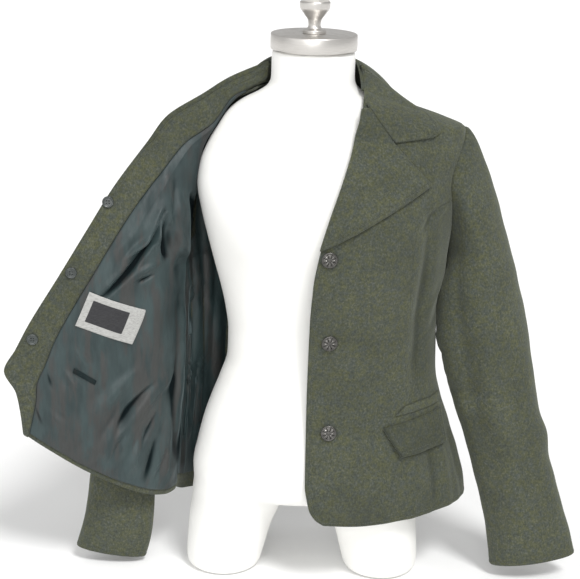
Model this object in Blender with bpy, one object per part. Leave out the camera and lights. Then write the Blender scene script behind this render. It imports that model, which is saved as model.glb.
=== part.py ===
"""Tyrolean loden jacket on a limbless dress form.

The jacket is shown half open. Its left half (+X) hangs closed over the form, and its
right front is swung out sideways, so that the facing and the lining face the viewer (-Y).
Everything is in metres with +Z up. The sizes below are measured from a point on the floor
under the neck of the form. Once made, the whole is moved so that the bottom centre of its
bounding box is at the origin.
"""
import math
from collections import namedtuple

import bmesh
import bpy
from mathutils import Matrix, Vector

# ---------------------------------------------------------------- driving sizes
CLOTH = 0.0025          # loden wall
SATIN = 0.0010          # lining wall
LABEL_CLOTH = 0.0008    # label wall
EDGE_INSET = 0.0040     # how much further in the outer buttons sit than their backings
SEAM = 0.0003           # gap between pieces at a seam
LAY = 0.0006            # gap under a piece that lies on a panel
DOUBLED = 0.0042        # lapel, collar and flap: two layers of loden

HEM = 0.110             # height of the hem above the floor, at the front edge
UNDERARM = 0.455
SHOULDER_TIP = 0.659
NECK_POINT = 0.708

NECK_RADIUS = 0.0575
NECK_TOP = 0.7635
PLATE_RADIUS = 0.0595
PLATE_HEIGHT = 0.0220

STEP = 0.0005           # step of the finite differences that give a surface's normal

Finish = namedtuple("Finish", "name color roughness metallic")
LODEN = Finish("loden", (0.052, 0.066, 0.040), 0.95, 0.0)
LINING = Finish("lining", (0.018, 0.036, 0.036), 0.38, 0.0)
FORM = Finish("form_cover", (0.80, 0.79, 0.75), 0.85, 0.0)
STEEL = Finish("brushed_metal", (0.55, 0.54, 0.52), 0.32, 1.0)
ANTIQUE = Finish("antique_metal", (0.14, 0.135, 0.125), 0.42, 1.0)
HORN = Finish("dark_button", (0.030, 0.036, 0.034), 0.35, 0.0)
SATIN_LABEL = Finish("label_satin", (0.74, 0.74, 0.72), 0.45, 0.0)

# ---------------------------------------------------------------- tables
# Sections of the closed half: half width, and depth behind and in front of the side line.
Body = namedtuple("Body", "height half_width back front middle")
LEFT_BODY = (
    Body(0.110, 0.2420, 0.118, 0.130, 0.020),
    Body(0.150, 0.2350, 0.114, 0.127, 0.018),
    Body(0.190, 0.2235, 0.108, 0.122, 0.016),
    Body(0.225, 0.2110, 0.101, 0.117, 0.014),
    Body(0.265, 0.1980, 0.094, 0.113, 0.012),
    Body(0.300, 0.1895, 0.089, 0.112, 0.010),
    Body(0.345, 0.1855, 0.087, 0.115, 0.010),
    Body(0.400, 0.1855, 0.091, 0.125, 0.010),
    Body(0.430, 0.1885, 0.094, 0.130, 0.010),
    Body(0.455, 0.1935, 0.097, 0.135, 0.010),
    Body(0.520, 0.2010, 0.101, 0.137, 0.010),
    Body(0.580, 0.2080, 0.099, 0.121, 0.010),
    Body(0.625, 0.2145, 0.090, 0.098, 0.010),
    Body(0.659, 0.2130, 0.079, 0.078, 0.010),
    Body(0.672, 0.1860, 0.076, 0.080, 0.010),
    Body(0.688, 0.1375, 0.072, 0.077, 0.008),
    Body(0.699, 0.1050, 0.069, 0.072, 0.005),
    Body(0.708, 0.0850, 0.067, 0.068, 0.002),
)
# The open half: the back only, drawn in at the side seam.
RIGHT_BODY = (
    Body(0.110, 0.1860, 0.118, 0.060, 0.020),
    Body(0.150, 0.1840, 0.114, 0.060, 0.018),
    Body(0.190, 0.1810, 0.108, 0.060, 0.016),
    Body(0.225, 0.1790, 0.101, 0.060, 0.014),
    Body(0.265, 0.1770, 0.094, 0.060, 0.012),
    Body(0.300, 0.1760, 0.089, 0.060, 0.010),
    Body(0.345, 0.1760, 0.087, 0.060, 0.010),
    Body(0.400, 0.1760, 0.091, 0.060, 0.010),
    Body(0.455, 0.1780, 0.097, 0.060, 0.010),
    Body(0.520, 0.1860, 0.101, 0.060, 0.010),
    Body(0.580, 0.1950, 0.099, 0.060, 0.010),
    Body(0.625, 0.2020, 0.090, 0.060, 0.010),
    Body(0.659, 0.1990, 0.079, 0.060, 0.010),
    Body(0.672, 0.1620, 0.076, 0.080, 0.010),
    Body(0.688, 0.1210, 0.072, 0.077, 0.008),
    Body(0.699, 0.0940, 0.069, 0.072, 0.005),
    Body(0.708, 0.0760, 0.067, 0.068, 0.003),
)
# How far the hem lies above its height at the front edge, round each half.
Hem = namedtuple("Hem", "turn left right")
HEM_LINE = (
    Hem(0, -0.012, -0.012),
    Hem(50, -0.005, -0.027),
    Hem(70, 0.002, -0.020),
    Hem(90, 0.008, -0.004),
    Hem(122, 0.005, -0.004),
    Hem(142, -0.001, -0.004),
    Hem(160, -0.005, -0.004),
    Hem(180, -0.001, -0.004),
)
# The closed front's edge: straight to the top button, then the lapel's roll line.
Edge = namedtuple("Edge", "height x")
FRONT_EDGE = (
    Edge(0.110, 0.032),
    Edge(0.117, 0.021),
    Edge(0.130, 0.012),
    Edge(0.147, 0.008),
    Edge(0.165, 0.005),
    Edge(0.300, 0.004),
    Edge(0.400, 0.005),
    Edge(0.459, 0.008),
    Edge(0.498, 0.014),
    Edge(0.551, 0.028),
    Edge(0.600, 0.045),
    Edge(0.636, 0.056),
    Edge(0.662, 0.062),
    Edge(0.682, 0.067),
    Edge(0.708, 0.070),
)
PRINCESS = (
    Edge(0.110, 0.165),
    Edge(0.194, 0.162),
    Edge(0.297, 0.149),
    Edge(0.373, 0.144),
    Edge(0.434, 0.140),
    Edge(0.485, 0.141),
    Edge(0.522, 0.143),
    Edge(0.548, 0.150),
    Edge(0.558, 0.166),
    Edge(0.566, 0.200),
)
PRINCESS_TOP = 0.566
# The lapel's outer edge, from the top button over the tip to the notch and the gorge.
LAPEL_EDGE = (
    Edge(0.5125, 0.0330),
    Edge(0.551, 0.0880),
    Edge(0.593, 0.1630),
    Edge(0.612, 0.1460),
    Edge(0.636, 0.1230),
    Edge(0.6485, 0.1111),
    Edge(0.6742, 0.0920),
    Edge(0.6940, 0.0772),
)
LAPEL_HEIGHTS = (0.5125, 0.532, 0.551, 0.562, 0.574, 0.593, 0.605, 0.612, 0.622, 0.632,
                 0.6485, 0.655, 0.668, 0.6815, 0.694)
# The pocket on the closed front: corners of the flap and of the welt above it.
Strip = namedtuple("Strip", "share low_x low_height high_x high_height")
FLAP = (
    Strip(0.0, 0.137, 0.204, 0.112, 0.246),
    Strip(1.0, 0.197, 0.212, 0.192, 0.258),
)
WELT = (
    Strip(0.0, 0.127, 0.262, 0.142, 0.2755),
    Strip(1.0, 0.191, 0.2675, 0.191, 0.280),
)
# The opened front: its inner edge, its outer edge, the facing's width and the hem's sag.
Open = namedtuple("Open", "row in_x in_y in_z out_x out_y out_z facing sag")
OPEN_FRONT = (
    Open(0.00, -0.1860, 0.020, 0.106, -0.3927, -0.080, 0.223, 0.008, 0.006),
    Open(0.05, -0.1845, 0.019, 0.138, -0.3955, -0.082, 0.253, 0.018, 0.006),
    Open(0.10, -0.1825, 0.018, 0.168, -0.4015, -0.084, 0.286, 0.032, 0.005),
    Open(0.15, -0.1805, 0.016, 0.200, -0.4175, -0.085, 0.317, 0.052, 0.003),
    Open(0.20, -0.179, 0.014, 0.232, -0.402, -0.084, 0.347, 0.048, 0.002),
    Open(0.29, -0.176, 0.010, 0.294, -0.383, -0.082, 0.384, 0.044, 0.001),
    Open(0.41, -0.176, 0.010, 0.365, -0.341, -0.078, 0.454, 0.042, 0.000),
    Open(0.54, -0.178, 0.010, 0.455, -0.302, -0.070, 0.520, 0.043, 0.000),
    Open(0.63, -0.166, 0.006, 0.515, -0.267, -0.060, 0.578, 0.044, 0.000),
    Open(0.73, -0.163, 0.006, 0.570, -0.223, -0.042, 0.638, 0.045, 0.000),
    Open(0.80, -0.158, 0.002, 0.612, -0.199, -0.026, 0.670, 0.046, 0.000),
    Open(0.87, -0.139, -0.004, 0.655, -0.150, -0.014, 0.701, 0.043, 0.000),
    Open(0.94, -0.105, -0.001, 0.6975, -0.113, -0.006, 0.724, 0.024, 0.000),
    Open(1.00, -0.0655, 0.018, 0.7165, -0.0625, 0.014, 0.744, 0.023, 0.000),
)
FOLD_ROW = 0.77         # row of the opened front where its fold leaves the armhole
FOLD_END_ROW = 0.92     # row where the fold meets the shoulder seam, near the neck
FOLD_END_HEIGHT = 0.690
OPEN_ROWS = tuple(i / 20 for i in range(19)) + (0.92, 0.96, 1.0)
NOTCH_ROW = 0.92        # row of the opened front where the collar meets the lapel
OPEN_PRINCESS = 0.34    # share of the opened front that lies inside its princess seam
# Folds of the lining: ridges from one place to another on the opened front.
Ridge = namedtuple("Ridge", "x z to_x to_z width rise")
RIDGES = (
    Ridge(-0.205, 0.530, -0.268, 0.464, 0.011, 0.009),
    Ridge(-0.212, 0.500, -0.234, 0.454, 0.013, 0.011),
    Ridge(-0.184, 0.540, -0.188, 0.430, 0.012, 0.006),
    Ridge(-0.190, 0.370, -0.285, 0.160, 0.014, 0.006),
    Ridge(-0.186, 0.300, -0.232, 0.140, 0.012, 0.008),
    Ridge(-0.205, 0.350, -0.335, 0.200, 0.014, 0.005),
)

# Sleeve rings: centre, half width, half depth, how far the outer side is lifted, and how
# far the front is tucked in towards the body.
Ring = namedtuple("Ring", "row x y z half_width half_depth lift tuck")
LEFT_SLEEVE = (
    Ring(0.22, 0.2455, 0.010, 0.432, 0.0505, 0.050, 0.020, 0.010),
    Ring(0.36, 0.2563, 0.006, 0.361, 0.0597, 0.047, 0.016, 0.004),
    Ring(0.50, 0.2726, 0.002, 0.285, 0.0581, 0.043, 0.014, 0.000),
    Ring(0.63, 0.2922, -0.004, 0.216, 0.0544, 0.040, 0.012, 0.000),
    Ring(0.76, 0.3118, -0.010, 0.148, 0.0543, 0.037, 0.011, 0.000),
    Ring(0.91, 0.3335, -0.018, 0.070, 0.0575, 0.030, 0.010, 0.000),
    Ring(1.00, 0.3418, -0.022, 0.029, 0.0608, 0.024, 0.0105, 0.000),
)
RIGHT_SLEEVE = (
    Ring(0.22, -0.2360, 0.034, 0.430, 0.0510, 0.046, 0.012, 0.000),
    Ring(0.36, -0.2420, 0.030, 0.361, 0.0530, 0.043, 0.010, 0.000),
    Ring(0.50, -0.2470, 0.024, 0.285, 0.0530, 0.040, 0.009, 0.000),
    Ring(0.63, -0.2530, 0.016, 0.216, 0.0500, 0.037, 0.008, 0.000),
    Ring(0.76, -0.2590, 0.006, 0.148, 0.0460, 0.032, 0.008, 0.000),
    Ring(0.91, -0.2655, -0.003, 0.070, 0.0485, 0.024, 0.009, 0.000),
    Ring(1.00, -0.2775, -0.005, 0.015, 0.0500, 0.017, 0.007, 0.000),
)
# The collar, from its front end to the centre back: the roll, and the outer edge on the body.
Fall = namedtuple("Fall", "row roll_turn roll_radius roll_z turn height dip bulge")
COLLAR = (
    Fall(0.00, 122.5, 0.0865, 0.7010, 129.5, 0.6540, 0.0310, 0.000),
    Fall(0.12, 115.3, 0.0796, 0.7140, 119.0, 0.6700, 0.0130, 0.001),
    Fall(0.24, 102.9, 0.0718, 0.7300, 107.0, 0.6830, 0.0040, 0.002),
    Fall(0.38, 86.5, 0.0650, 0.7450, 90.0, 0.6950, 0.0000, 0.0025),
    Fall(0.55, 62.6, 0.0631, 0.7470, 62.0, 0.6940, 0.0000, 0.005),
    Fall(0.73, 39.9, 0.0631, 0.7490, 38.0, 0.6900, 0.0000, 0.007),
    Fall(1.00, 0.0, 0.0631, 0.7500, 0.0, 0.6870, 0.0000, 0.008),
)
NOTCH_SHARE = 0.43          # share of the collar's depth that is sewn to the lapel
COLLAR_RIGHT_END = 0.52     # table row, on the right side, where the folded collar ends
STAND_FRONT_END = 0.12      # table row where the collar stand starts
# The dress form's sections.
Section = namedtuple("Section", "height half_width front back")
TORSO = (
    Section(0.1150, 0.1000, 0.050, 0.055),
    Section(0.1200, 0.1300, 0.070, 0.080),
    Section(0.1280, 0.1500, 0.086, 0.099),
    Section(0.1420, 0.1575, 0.097, 0.110),
    Section(0.1620, 0.1580, 0.101, 0.115),
    Section(0.1940, 0.1520, 0.100, 0.111),
    Section(0.2290, 0.1440, 0.095, 0.103),
    Section(0.2600, 0.1340, 0.089, 0.092),
    Section(0.2950, 0.1210, 0.082, 0.080),
    Section(0.3290, 0.1110, 0.078, 0.073),
    Section(0.3620, 0.1105, 0.078, 0.073),
    Section(0.3970, 0.1150, 0.082, 0.077),
    Section(0.4300, 0.1225, 0.087, 0.081),
    Section(0.4620, 0.1315, 0.093, 0.085),
    Section(0.5050, 0.1430, 0.098, 0.088),
    Section(0.5370, 0.1510, 0.097, 0.090),
    Section(0.5770, 0.1575, 0.090, 0.090),
    Section(0.6040, 0.1540, 0.082, 0.088),
    Section(0.6350, 0.1420, 0.070, 0.080),
    Section(0.6560, 0.1300, 0.062, 0.072),
    Section(0.6740, 0.1190, 0.058, 0.064),
    Section(0.6870, 0.1060, 0.0575, 0.060),
    Section(0.6960, 0.0920, 0.0570, 0.0575),
    Section(0.7060, 0.0720, 0.0570, 0.0570),
    Section(0.7160, 0.0600, 0.0572, 0.0572),
    Section(0.7240, 0.0575, 0.0575, 0.0575),
    Section(0.7635, 0.0575, 0.0575, 0.0575),
)
Thigh = namedtuple("Thigh", "height middle half_width half_depth")
THIGH = (
    Thigh(0.0000, 0.1115, 0.0450, 0.0480),
    Thigh(0.0035, 0.1115, 0.0510, 0.0545),
    Thigh(0.0110, 0.1110, 0.0545, 0.0585),
    Thigh(0.0400, 0.1070, 0.0580, 0.0630),
    Thigh(0.0700, 0.1020, 0.0610, 0.0680),
    Thigh(0.0880, 0.0975, 0.0640, 0.0720),
    Thigh(0.1100, 0.0920, 0.0665, 0.0800),
    Thigh(0.1300, 0.0900, 0.0675, 0.0830),
    Thigh(0.1520, 0.0860, 0.0660, 0.0840),
)
Turned = namedtuple("Turned", "height radius")
FINIAL = (
    Turned(0.0000, 0.0160),
    Turned(0.0045, 0.0160),
    Turned(0.0065, 0.0100),
    Turned(0.0110, 0.0085),
    Turned(0.0180, 0.0095),
    Turned(0.0260, 0.0150),
    Turned(0.0350, 0.0205),
    Turned(0.0420, 0.0210),
    Turned(0.0440, 0.0190),
    Turned(0.0460, 0.0198),
    Turned(0.0530, 0.0185),
    Turned(0.0600, 0.0120),
    Turned(0.0630, 0.0040),
)
METAL_BUTTON = (
    Turned(0.0000, 0.0080),
    Turned(0.0010, 0.0106),
    Turned(0.0022, 0.0112),
    Turned(0.0034, 0.0104),
    Turned(0.0030, 0.0088),
    Turned(0.0038, 0.0060),
    Turned(0.0044, 0.0030),
)
BACKING_BUTTON = (
    Turned(0.0000, 0.0070),
    Turned(0.0006, 0.0080),
    Turned(0.0022, 0.0080),
    Turned(0.0027, 0.0072),
    Turned(0.0022, 0.0056),
)
LEFT_BUTTONS = (Edge(0.500, 0.028), Edge(0.378, 0.032), Edge(0.244, 0.035))
RIGHT_BUTTONS = (Edge(0.557, -0.2751), Edge(0.460, -0.3240), Edge(0.3647, -0.3777))
# Corners on the opened front, from the upper left to the lower left.
Corner = namedtuple("Corner", "x height")
LABEL = (
    Corner(-0.2990, 0.4345),
    Corner(-0.2260, 0.4065),
    Corner(-0.2430, 0.3575),
    Corner(-0.3190, 0.3865),
)
INNER_WELT = (
    Corner(-0.3206, 0.3250),
    Corner(-0.2906, 0.3065),
    Corner(-0.2930, 0.3000),
    Corner(-0.3230, 0.3180),
)
RIGHT_FLAP = (0.26, 0.60, 0.150, 0.210)     # shares and rows of the opened front's flap
RIGHT_WELT = (0.27, 0.56, 0.230, 0.252)


# ---------------------------------------------------------------- small maths
def sample(rows, column, where):
    """Smooth value of a table's column at a place along its first column."""
    keys = [row[0] for row in rows]
    values = [getattr(row, column) for row in rows]
    last = len(keys) - 1
    slopes = [(values[i + 1] - values[i]) / (keys[i + 1] - keys[i]) for i in range(last)]
    if where <= keys[0]:
        return values[0] + slopes[0] * (where - keys[0])
    if where >= keys[last]:
        return values[last] + slopes[-1] * (where - keys[last])
    k = max(i for i in range(last) if keys[i] <= where)
    before = slopes[max(k - 1, 0)]
    after = slopes[min(k + 1, last - 1)]
    start = blended_slope(before, slopes[k])
    end = blended_slope(slopes[k], after)
    span = keys[k + 1] - keys[k]
    t = (where - keys[k]) / span
    rise = values[k + 1] - values[k]
    curve = t * t * (3 - 2 * t)
    return (values[k] + rise * curve
            + span * start * t * (1 - t) ** 2
            - span * end * t * t * (1 - t))


def blended_slope(one, two):
    """Slope at a table row that keeps the curve from overshooting."""
    if one * two <= 0:
        return 0.0
    return 2 * one * two / (one + two)


def spread(low, high, count):
    """Evenly spaced values from low to high."""
    return [low + (high - low) * i / (count - 1) for i in range(count)]


# ---------------------------------------------------------------- garment surfaces
def body_point(rows, side, turn, height):
    """Point of the body: turn is 0 at the centre back, 90 at the side, 180 in front."""
    angle = math.radians(turn)
    width = sample(rows, "half_width", height)
    depth = sample(rows, "back" if turn < 90 else "front", height)
    middle = sample(rows, "middle", height)
    return Vector((side * width * math.sin(angle), middle + depth * math.cos(angle), height))


def left_body(turn, height):
    """Point of the closed half."""
    return body_point(LEFT_BODY, 1, turn, height)


def right_body(turn, height):
    """Point of the open half's back."""
    return body_point(RIGHT_BODY, -1, turn, height)


def front_turn(x, height):
    """Turn of the closed front's point at a distance x from the centre."""
    width = sample(LEFT_BODY, "half_width", height)
    return 180 - math.degrees(math.asin(min(x / width, 1.0)))


def armhole_share(height):
    """0 at the underarm and at the shoulder tip, 1 halfway between them."""
    share = (height - UNDERARM) / (SHOULDER_TIP - UNDERARM)
    share = min(max(share, 0.0), 1.0)
    return math.sqrt(max(1 - (2 * share - 1) ** 2, 0.0))


START_TURN = 0.25       # small: the opened front starts forwards, then turns sideways
FORWARD_POWER = 1.4
BACK_SCOOP = 34         # degrees that the armhole cuts into the back
FRONT_SCOOP = 22        # degrees that it cuts into the closed front


def back_armhole(height):
    """Turn of the back's armhole edge, or of the side seam below it."""
    return 90 - BACK_SCOOP * armhole_share(height)


def front_armhole(height):
    """Turn of the closed front's armhole edge, or of the side seam below it."""
    share = min(max((height - UNDERARM) / (SHOULDER_TIP - UNDERARM), 0.0), 1.0)
    return 90 + FRONT_SCOOP * math.sin(math.pi * share ** 1.9)


def open_point(share, row):
    """Point of the opened front: share is 0 at its inner edge and 1 at its front edge."""
    inner = Vector([sample(OPEN_FRONT, name, row) for name in ("in_x", "in_y", "in_z")])
    outer = Vector([sample(OPEN_FRONT, name, row) for name in ("out_x", "out_y", "out_z")])
    sag = sample(OPEN_FRONT, "sag", row)
    sideways = share * (share + START_TURN) / (1 + START_TURN)
    forward = 1 - (1 - share) * abs(1 - share) ** FORWARD_POWER
    point = inner.lerp(outer, sideways)
    point.y = inner.y + (outer.y - inner.y) * forward
    point.z -= 4 * sag * sideways * (1 - sideways)
    return point


def open_width(row):
    """Width of the opened front at a row."""
    return (open_point(1.0, row) - open_point(0.0, row)).length


def facing_share(row):
    """Share of the opened front at which its facing ends."""
    sideways = max(1 - sample(OPEN_FRONT, "facing", row) / open_width(row), 0.02)
    return (math.sqrt(START_TURN ** 2 + 4 * (1 + START_TURN) * sideways) - START_TURN) / 2


def outward(surface, side, a, b):
    """Unit normal of a surface on its outer side."""
    a_step, b_step = surface_steps(surface)
    along = surface(a + a_step, b) - surface(a - a_step, b)
    up = surface(a, b + b_step) - surface(a, b - b_step)
    return up.cross(along).normalized() * side


def surface_steps(surface):
    """Steps of the finite differences in a surface's two directions."""
    if surface in (left_body, right_body):
        return STEP * 500, STEP
    return STEP, STEP


# ---------------------------------------------------------------- meshes
def finish_object(name, mesh, finish, smooth=35):
    """Give a mesh its object, material and shading."""
    mesh.materials.append(material(finish))
    mesh.shade_smooth()
    mesh.set_sharp_from_angle(angle=math.radians(smooth))
    piece = bpy.data.objects.new(name, mesh)
    bpy.context.scene.collection.objects.link(piece)
    return piece


def material(finish):
    """Principled material of a finish, made once."""
    if finish.name in bpy.data.materials:
        return bpy.data.materials[finish.name]
    made = bpy.data.materials.new(finish.name)
    made.use_nodes = True
    shader = made.node_tree.nodes["Principled BSDF"]
    shader.inputs["Base Color"].default_value = (*finish.color, 1.0)
    shader.inputs["Roughness"].default_value = finish.roughness
    shader.inputs["Metallic"].default_value = finish.metallic
    made.diffuse_color = (*finish.color, 1.0)
    return made


def closed_wall(name, inner, outer, finish, ring=False):
    """Closed wall between two grids of points with the same rows and columns."""
    bm = bmesh.new()
    low = [[bm.verts.new(p) for p in row] for row in inner]
    high = [[bm.verts.new(p) for p in row] for row in outer]
    rows = len(inner)
    columns = len(inner[0])
    steps = columns if ring else columns - 1
    for r in range(rows - 1):
        for c in range(steps):
            d = (c + 1) % columns
            bm.faces.new((low[r][c], low[r][d], low[r + 1][d], low[r + 1][c]))
            bm.faces.new((high[r][c], high[r + 1][c], high[r + 1][d], high[r][d]))
    for r in (0, rows - 1):
        for c in range(steps):
            d = (c + 1) % columns
            bm.faces.new((low[r][c], high[r][c], high[r][d], low[r][d]))
    if not ring:
        for c in (0, columns - 1):
            for r in range(rows - 1):
                bm.faces.new((low[r][c], low[r + 1][c], high[r + 1][c], high[r][c]))
    bmesh.ops.recalc_face_normals(bm, faces=bm.faces)
    mesh = bpy.data.meshes.new(name)
    bm.to_mesh(mesh)
    bm.free()
    return finish_object(name, mesh, finish)


def panel(name, surface, side, cells, low, high, finish):
    """Wall over a surface, from one lift to another, at the given surface places."""
    inner = []
    outer = []
    for row in cells:
        normals = [outward(surface, side, a, b) for a, b in row]
        points = [surface(a, b) for a, b in row]
        inner.append([p + n * low for p, n in zip(points, normals)])
        outer.append([p + n * high for p, n in zip(points, normals)])
    return closed_wall(name, inner, outer, finish)


def turned_piece(name, profile, finish, base, axis, sides):
    """Solid turned about an axis that starts at base."""
    bm = bmesh.new()
    up = axis.normalized()
    across = up.orthogonal().normalized()
    other = up.cross(across)
    rings = []
    for row in profile:
        ring = []
        for i in range(sides):
            angle = 2 * math.pi * i / sides
            spoke = across * math.cos(angle) + other * math.sin(angle)
            ring.append(bm.verts.new(base + up * row.height + spoke * row.radius))
        rings.append(ring)
    for one, two in zip(rings, rings[1:]):
        for i in range(sides):
            j = (i + 1) % sides
            bm.faces.new((one[i], one[j], two[j], two[i]))
    bm.faces.new(rings[0])
    bm.faces.new(rings[-1])
    bmesh.ops.recalc_face_normals(bm, faces=bm.faces)
    mesh = bpy.data.meshes.new(name)
    bm.to_mesh(mesh)
    bm.free()
    return finish_object(name, mesh, finish)


# ---------------------------------------------------------------- the dress form
FORM_SIDES = 26
STRIDE = 0.008          # how much further out the left thigh stands
BUST_RISE = 0.016
BUST_HEIGHT = 0.522
BUST_X = 0.078
BUST_SPREAD = 0.046


def lofted(name, rings, finish):
    """Closed solid through rings of points, with flat ends."""
    bm = bmesh.new()
    loops = [[bm.verts.new(p) for p in ring] for ring in rings]
    count = len(loops[0])
    for one, two in zip(loops, loops[1:]):
        for i in range(count):
            j = (i + 1) % count
            bm.faces.new((one[i], one[j], two[j], two[i]))
    bm.faces.new(loops[0])
    bm.faces.new(loops[-1])
    bmesh.ops.recalc_face_normals(bm, faces=bm.faces)
    mesh = bpy.data.meshes.new(name)
    bm.to_mesh(mesh)
    bm.free()
    return finish_object(name, mesh, finish)


def torso_point(section, angle):
    """Point of the form's section, with a gentle bust on a general figure."""
    x = section.half_width * math.sin(angle)
    depth = section.front if math.cos(angle) < 0 else section.back
    y = depth * math.cos(angle)
    if math.cos(angle) < 0:
        across = (abs(x) - BUST_X) / BUST_SPREAD
        along = (section.height - BUST_HEIGHT) / BUST_SPREAD
        y -= BUST_RISE * math.exp(-across * across - along * along) * -math.cos(angle)
    return Vector((x, y, section.height))


def make_form():
    """The form's torso with its two thigh ends, in one body."""
    rings = []
    for section in TORSO:
        rings.append([torso_point(section, 2 * math.pi * i / FORM_SIDES)
                      for i in range(FORM_SIDES)])
    form = lofted("dress_form", rings, FORM)
    for side, name, apart in ((-1, "thigh_cutter_right", 0.0), (1, "thigh_cutter_left", STRIDE)):
        rings = []
        for row in THIGH:
            ring = []
            for i in range(FORM_SIDES - 4):
                angle = 2 * math.pi * i / (FORM_SIDES - 4)
                x = side * (row.middle + apart + row.half_width * math.sin(angle))
                ring.append(Vector((x, row.half_depth * math.cos(angle), row.height)))
            rings.append(ring)
        thigh = lofted(name, rings, FORM)
        thigh.hide_render = True
        thigh.display_type = "WIRE"
        union = form.modifiers.new(name, "BOOLEAN")
        union.operation = "UNION"
        union.object = thigh
        union.solver = "EXACT"


def make_neck_plate():
    """The metal plate on the neck, and the knob on it."""
    edge = 0.0012
    profile = (
        Turned(0.0, PLATE_RADIUS - edge),
        Turned(edge, PLATE_RADIUS),
        Turned(PLATE_HEIGHT - edge, PLATE_RADIUS),
        Turned(PLATE_HEIGHT, PLATE_RADIUS - edge),
    )
    up = Vector((0, 0, 1))
    base = Vector((0, 0, NECK_TOP + SEAM))
    turned_piece("neck_plate", profile, STEEL, base, up, 36)
    turned_piece("finial", FINIAL, STEEL, base + up * (PLATE_HEIGHT + SEAM), up, 20)


# ---------------------------------------------------------------- body panels
def body_heights():
    """Heights of the rows that every body panel shares."""
    hem = [HEM, 0.117, 0.130, 0.148]
    skirt = spread(0.175, UNDERARM, 11)
    armhole = [0.461, 0.478, 0.505, 0.535, 0.557, PRINCESS_TOP, 0.600, 0.630, 0.651, SHOULDER_TIP]
    shoulder = spread(SHOULDER_TIP, NECK_POINT, 5)
    return hem + skirt + armhole + shoulder[1:]


def hemmed(turn, height, half="left"):
    """Place of a body row's point, following the line of the hem near it."""
    rise = sample(HEM_LINE, half, turn)
    return turn, height + rise * max(0.0, 1 - (height - HEM) / 0.075)


def pulled(turn, height, side_of_seam, surface):
    """Turn of a seam, moved half a seam's gap to one side."""
    reach = (surface(turn + 0.5, height) - surface(turn - 0.5, height)).length
    return turn + side_of_seam * SEAM / 2 / reach


def back_cells(surface, columns):
    """Places of a back panel, from the centre back seam to the side."""
    cells = []
    half = "left" if surface == left_body else "right"
    for height in body_heights():
        start = pulled(0.0, height, 1, surface)
        end = pulled(back_armhole(height), height, -1, surface)
        cells.append([hemmed(turn, height, half) for turn in spread(start, end, columns)])
    return cells


def princess_turn(height):
    """Turn of the closed front's princess seam, or of the armhole above it."""
    if height > PRINCESS_TOP:
        return front_armhole(height)
    seam = front_turn(sample(PRINCESS, "x", height), height)
    return max(seam, front_armhole(height) + 0.4)


def front_cells(columns):
    """Places of the closed front, from its princess seam or armhole to its front edge."""
    cells = []
    for height in body_heights():
        start = pulled(princess_turn(height), height, 1, left_body)
        end = front_turn(sample(FRONT_EDGE, "x", height), height)
        cells.append([hemmed(turn, height) for turn in spread(start, end, columns)])
    return cells


def side_front_cells(columns):
    """Places of the side front, from the side seam or armhole to the princess seam."""
    cells = []
    for height in body_heights():
        if height > PRINCESS_TOP:
            break
        start = pulled(front_armhole(height), height, 1, left_body)
        end = pulled(princess_turn(height), height, -1, left_body)
        cells.append([hemmed(turn, height) for turn in spread(start, end, columns)])
    return cells


def make_body():
    """Back panels and the closed half's fronts."""
    half = CLOTH / 2
    panel("back_left", left_body, 1, back_cells(left_body, 9), -half, half, LODEN)
    panel("back_right", right_body, -1, back_cells(right_body, 9), -half, half, LODEN)
    panel("front_left", left_body, 1, front_cells(9), -half, half, LODEN)
    panel("side_front_left", left_body, 1, side_front_cells(7), -half, half, LODEN)


def row_at_height(height):
    """Row of the opened front whose inner edge is at a height."""
    low = 0.0
    high = 1.0
    for _ in range(30):
        middle = (low + high) / 2
        if sample(OPEN_FRONT, "in_z", middle) < height:
            low = middle
        else:
            high = middle
    return (low + high) / 2


# ---------------------------------------------------------------- lapel, pocket, buttons
def front_place(x, height):
    """Surface place of the closed front at a distance from the centre and a height."""
    return front_turn(x, height), height


def place_under(x, height, lift):
    """Surface place of the closed front above which, at a lift, a point of a layer lies."""
    low_x = x
    low_height = height
    for _ in range(4):
        turn = front_turn(max(low_x, 0.0), low_height)
        lifted = left_body(turn, low_height) + outward(left_body, 1, turn, low_height) * lift
        low_x += x - lifted.x
        low_height += height - lifted.z
    return front_turn(max(low_x, 0.0), low_height), low_height


def make_lapel():
    """The turned-back lapel on the closed front."""
    cells = []
    low = CLOTH / 2 + 2 * LAY
    middle = low + DOUBLED / 2
    for height in LAPEL_HEIGHTS:
        start = sample(FRONT_EDGE, "x", height) + SEAM
        end = lapel_edge(height)
        cells.append([place_under(x, height, middle) for x in spread(start, end, 7)])
    panel("lapel_left", left_body, 1, cells, low, low + DOUBLED, LODEN)


def lapel_edge(height):
    """Straight stretches of the lapel's outer edge."""
    for one, two in zip(LAPEL_EDGE, LAPEL_EDGE[1:]):
        if height <= two.height:
            share = (height - one.height) / (two.height - one.height)
            return one.x + (two.x - one.x) * share
    return LAPEL_EDGE[-1].x


def strip_cells(strip, rows, columns):
    """Places of a flap or a welt on the closed front."""
    one, two = strip
    cells = []
    for up in spread(0.0, 1.0, rows):
        cells.append([])
        for along in spread(0.0, 1.0, columns):
            low_x = one.low_x + (two.low_x - one.low_x) * along
            high_x = one.high_x + (two.high_x - one.high_x) * along
            low = one.low_height + (two.low_height - one.low_height) * along
            high = one.high_height + (two.high_height - one.high_height) * along
            cells[-1].append(front_place(low_x + (high_x - low_x) * up, low + (high - low) * up))
    return cells


def make_pocket():
    """Flap and welt of the closed front."""
    low = CLOTH / 2 + 2 * LAY
    panel("flap_left", left_body, 1, strip_cells(FLAP, 4, 9), low, low + DOUBLED, LODEN)
    panel("welt_left", left_body, 1, strip_cells(WELT, 2, 9), low, low + CLOTH, LODEN)


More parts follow.
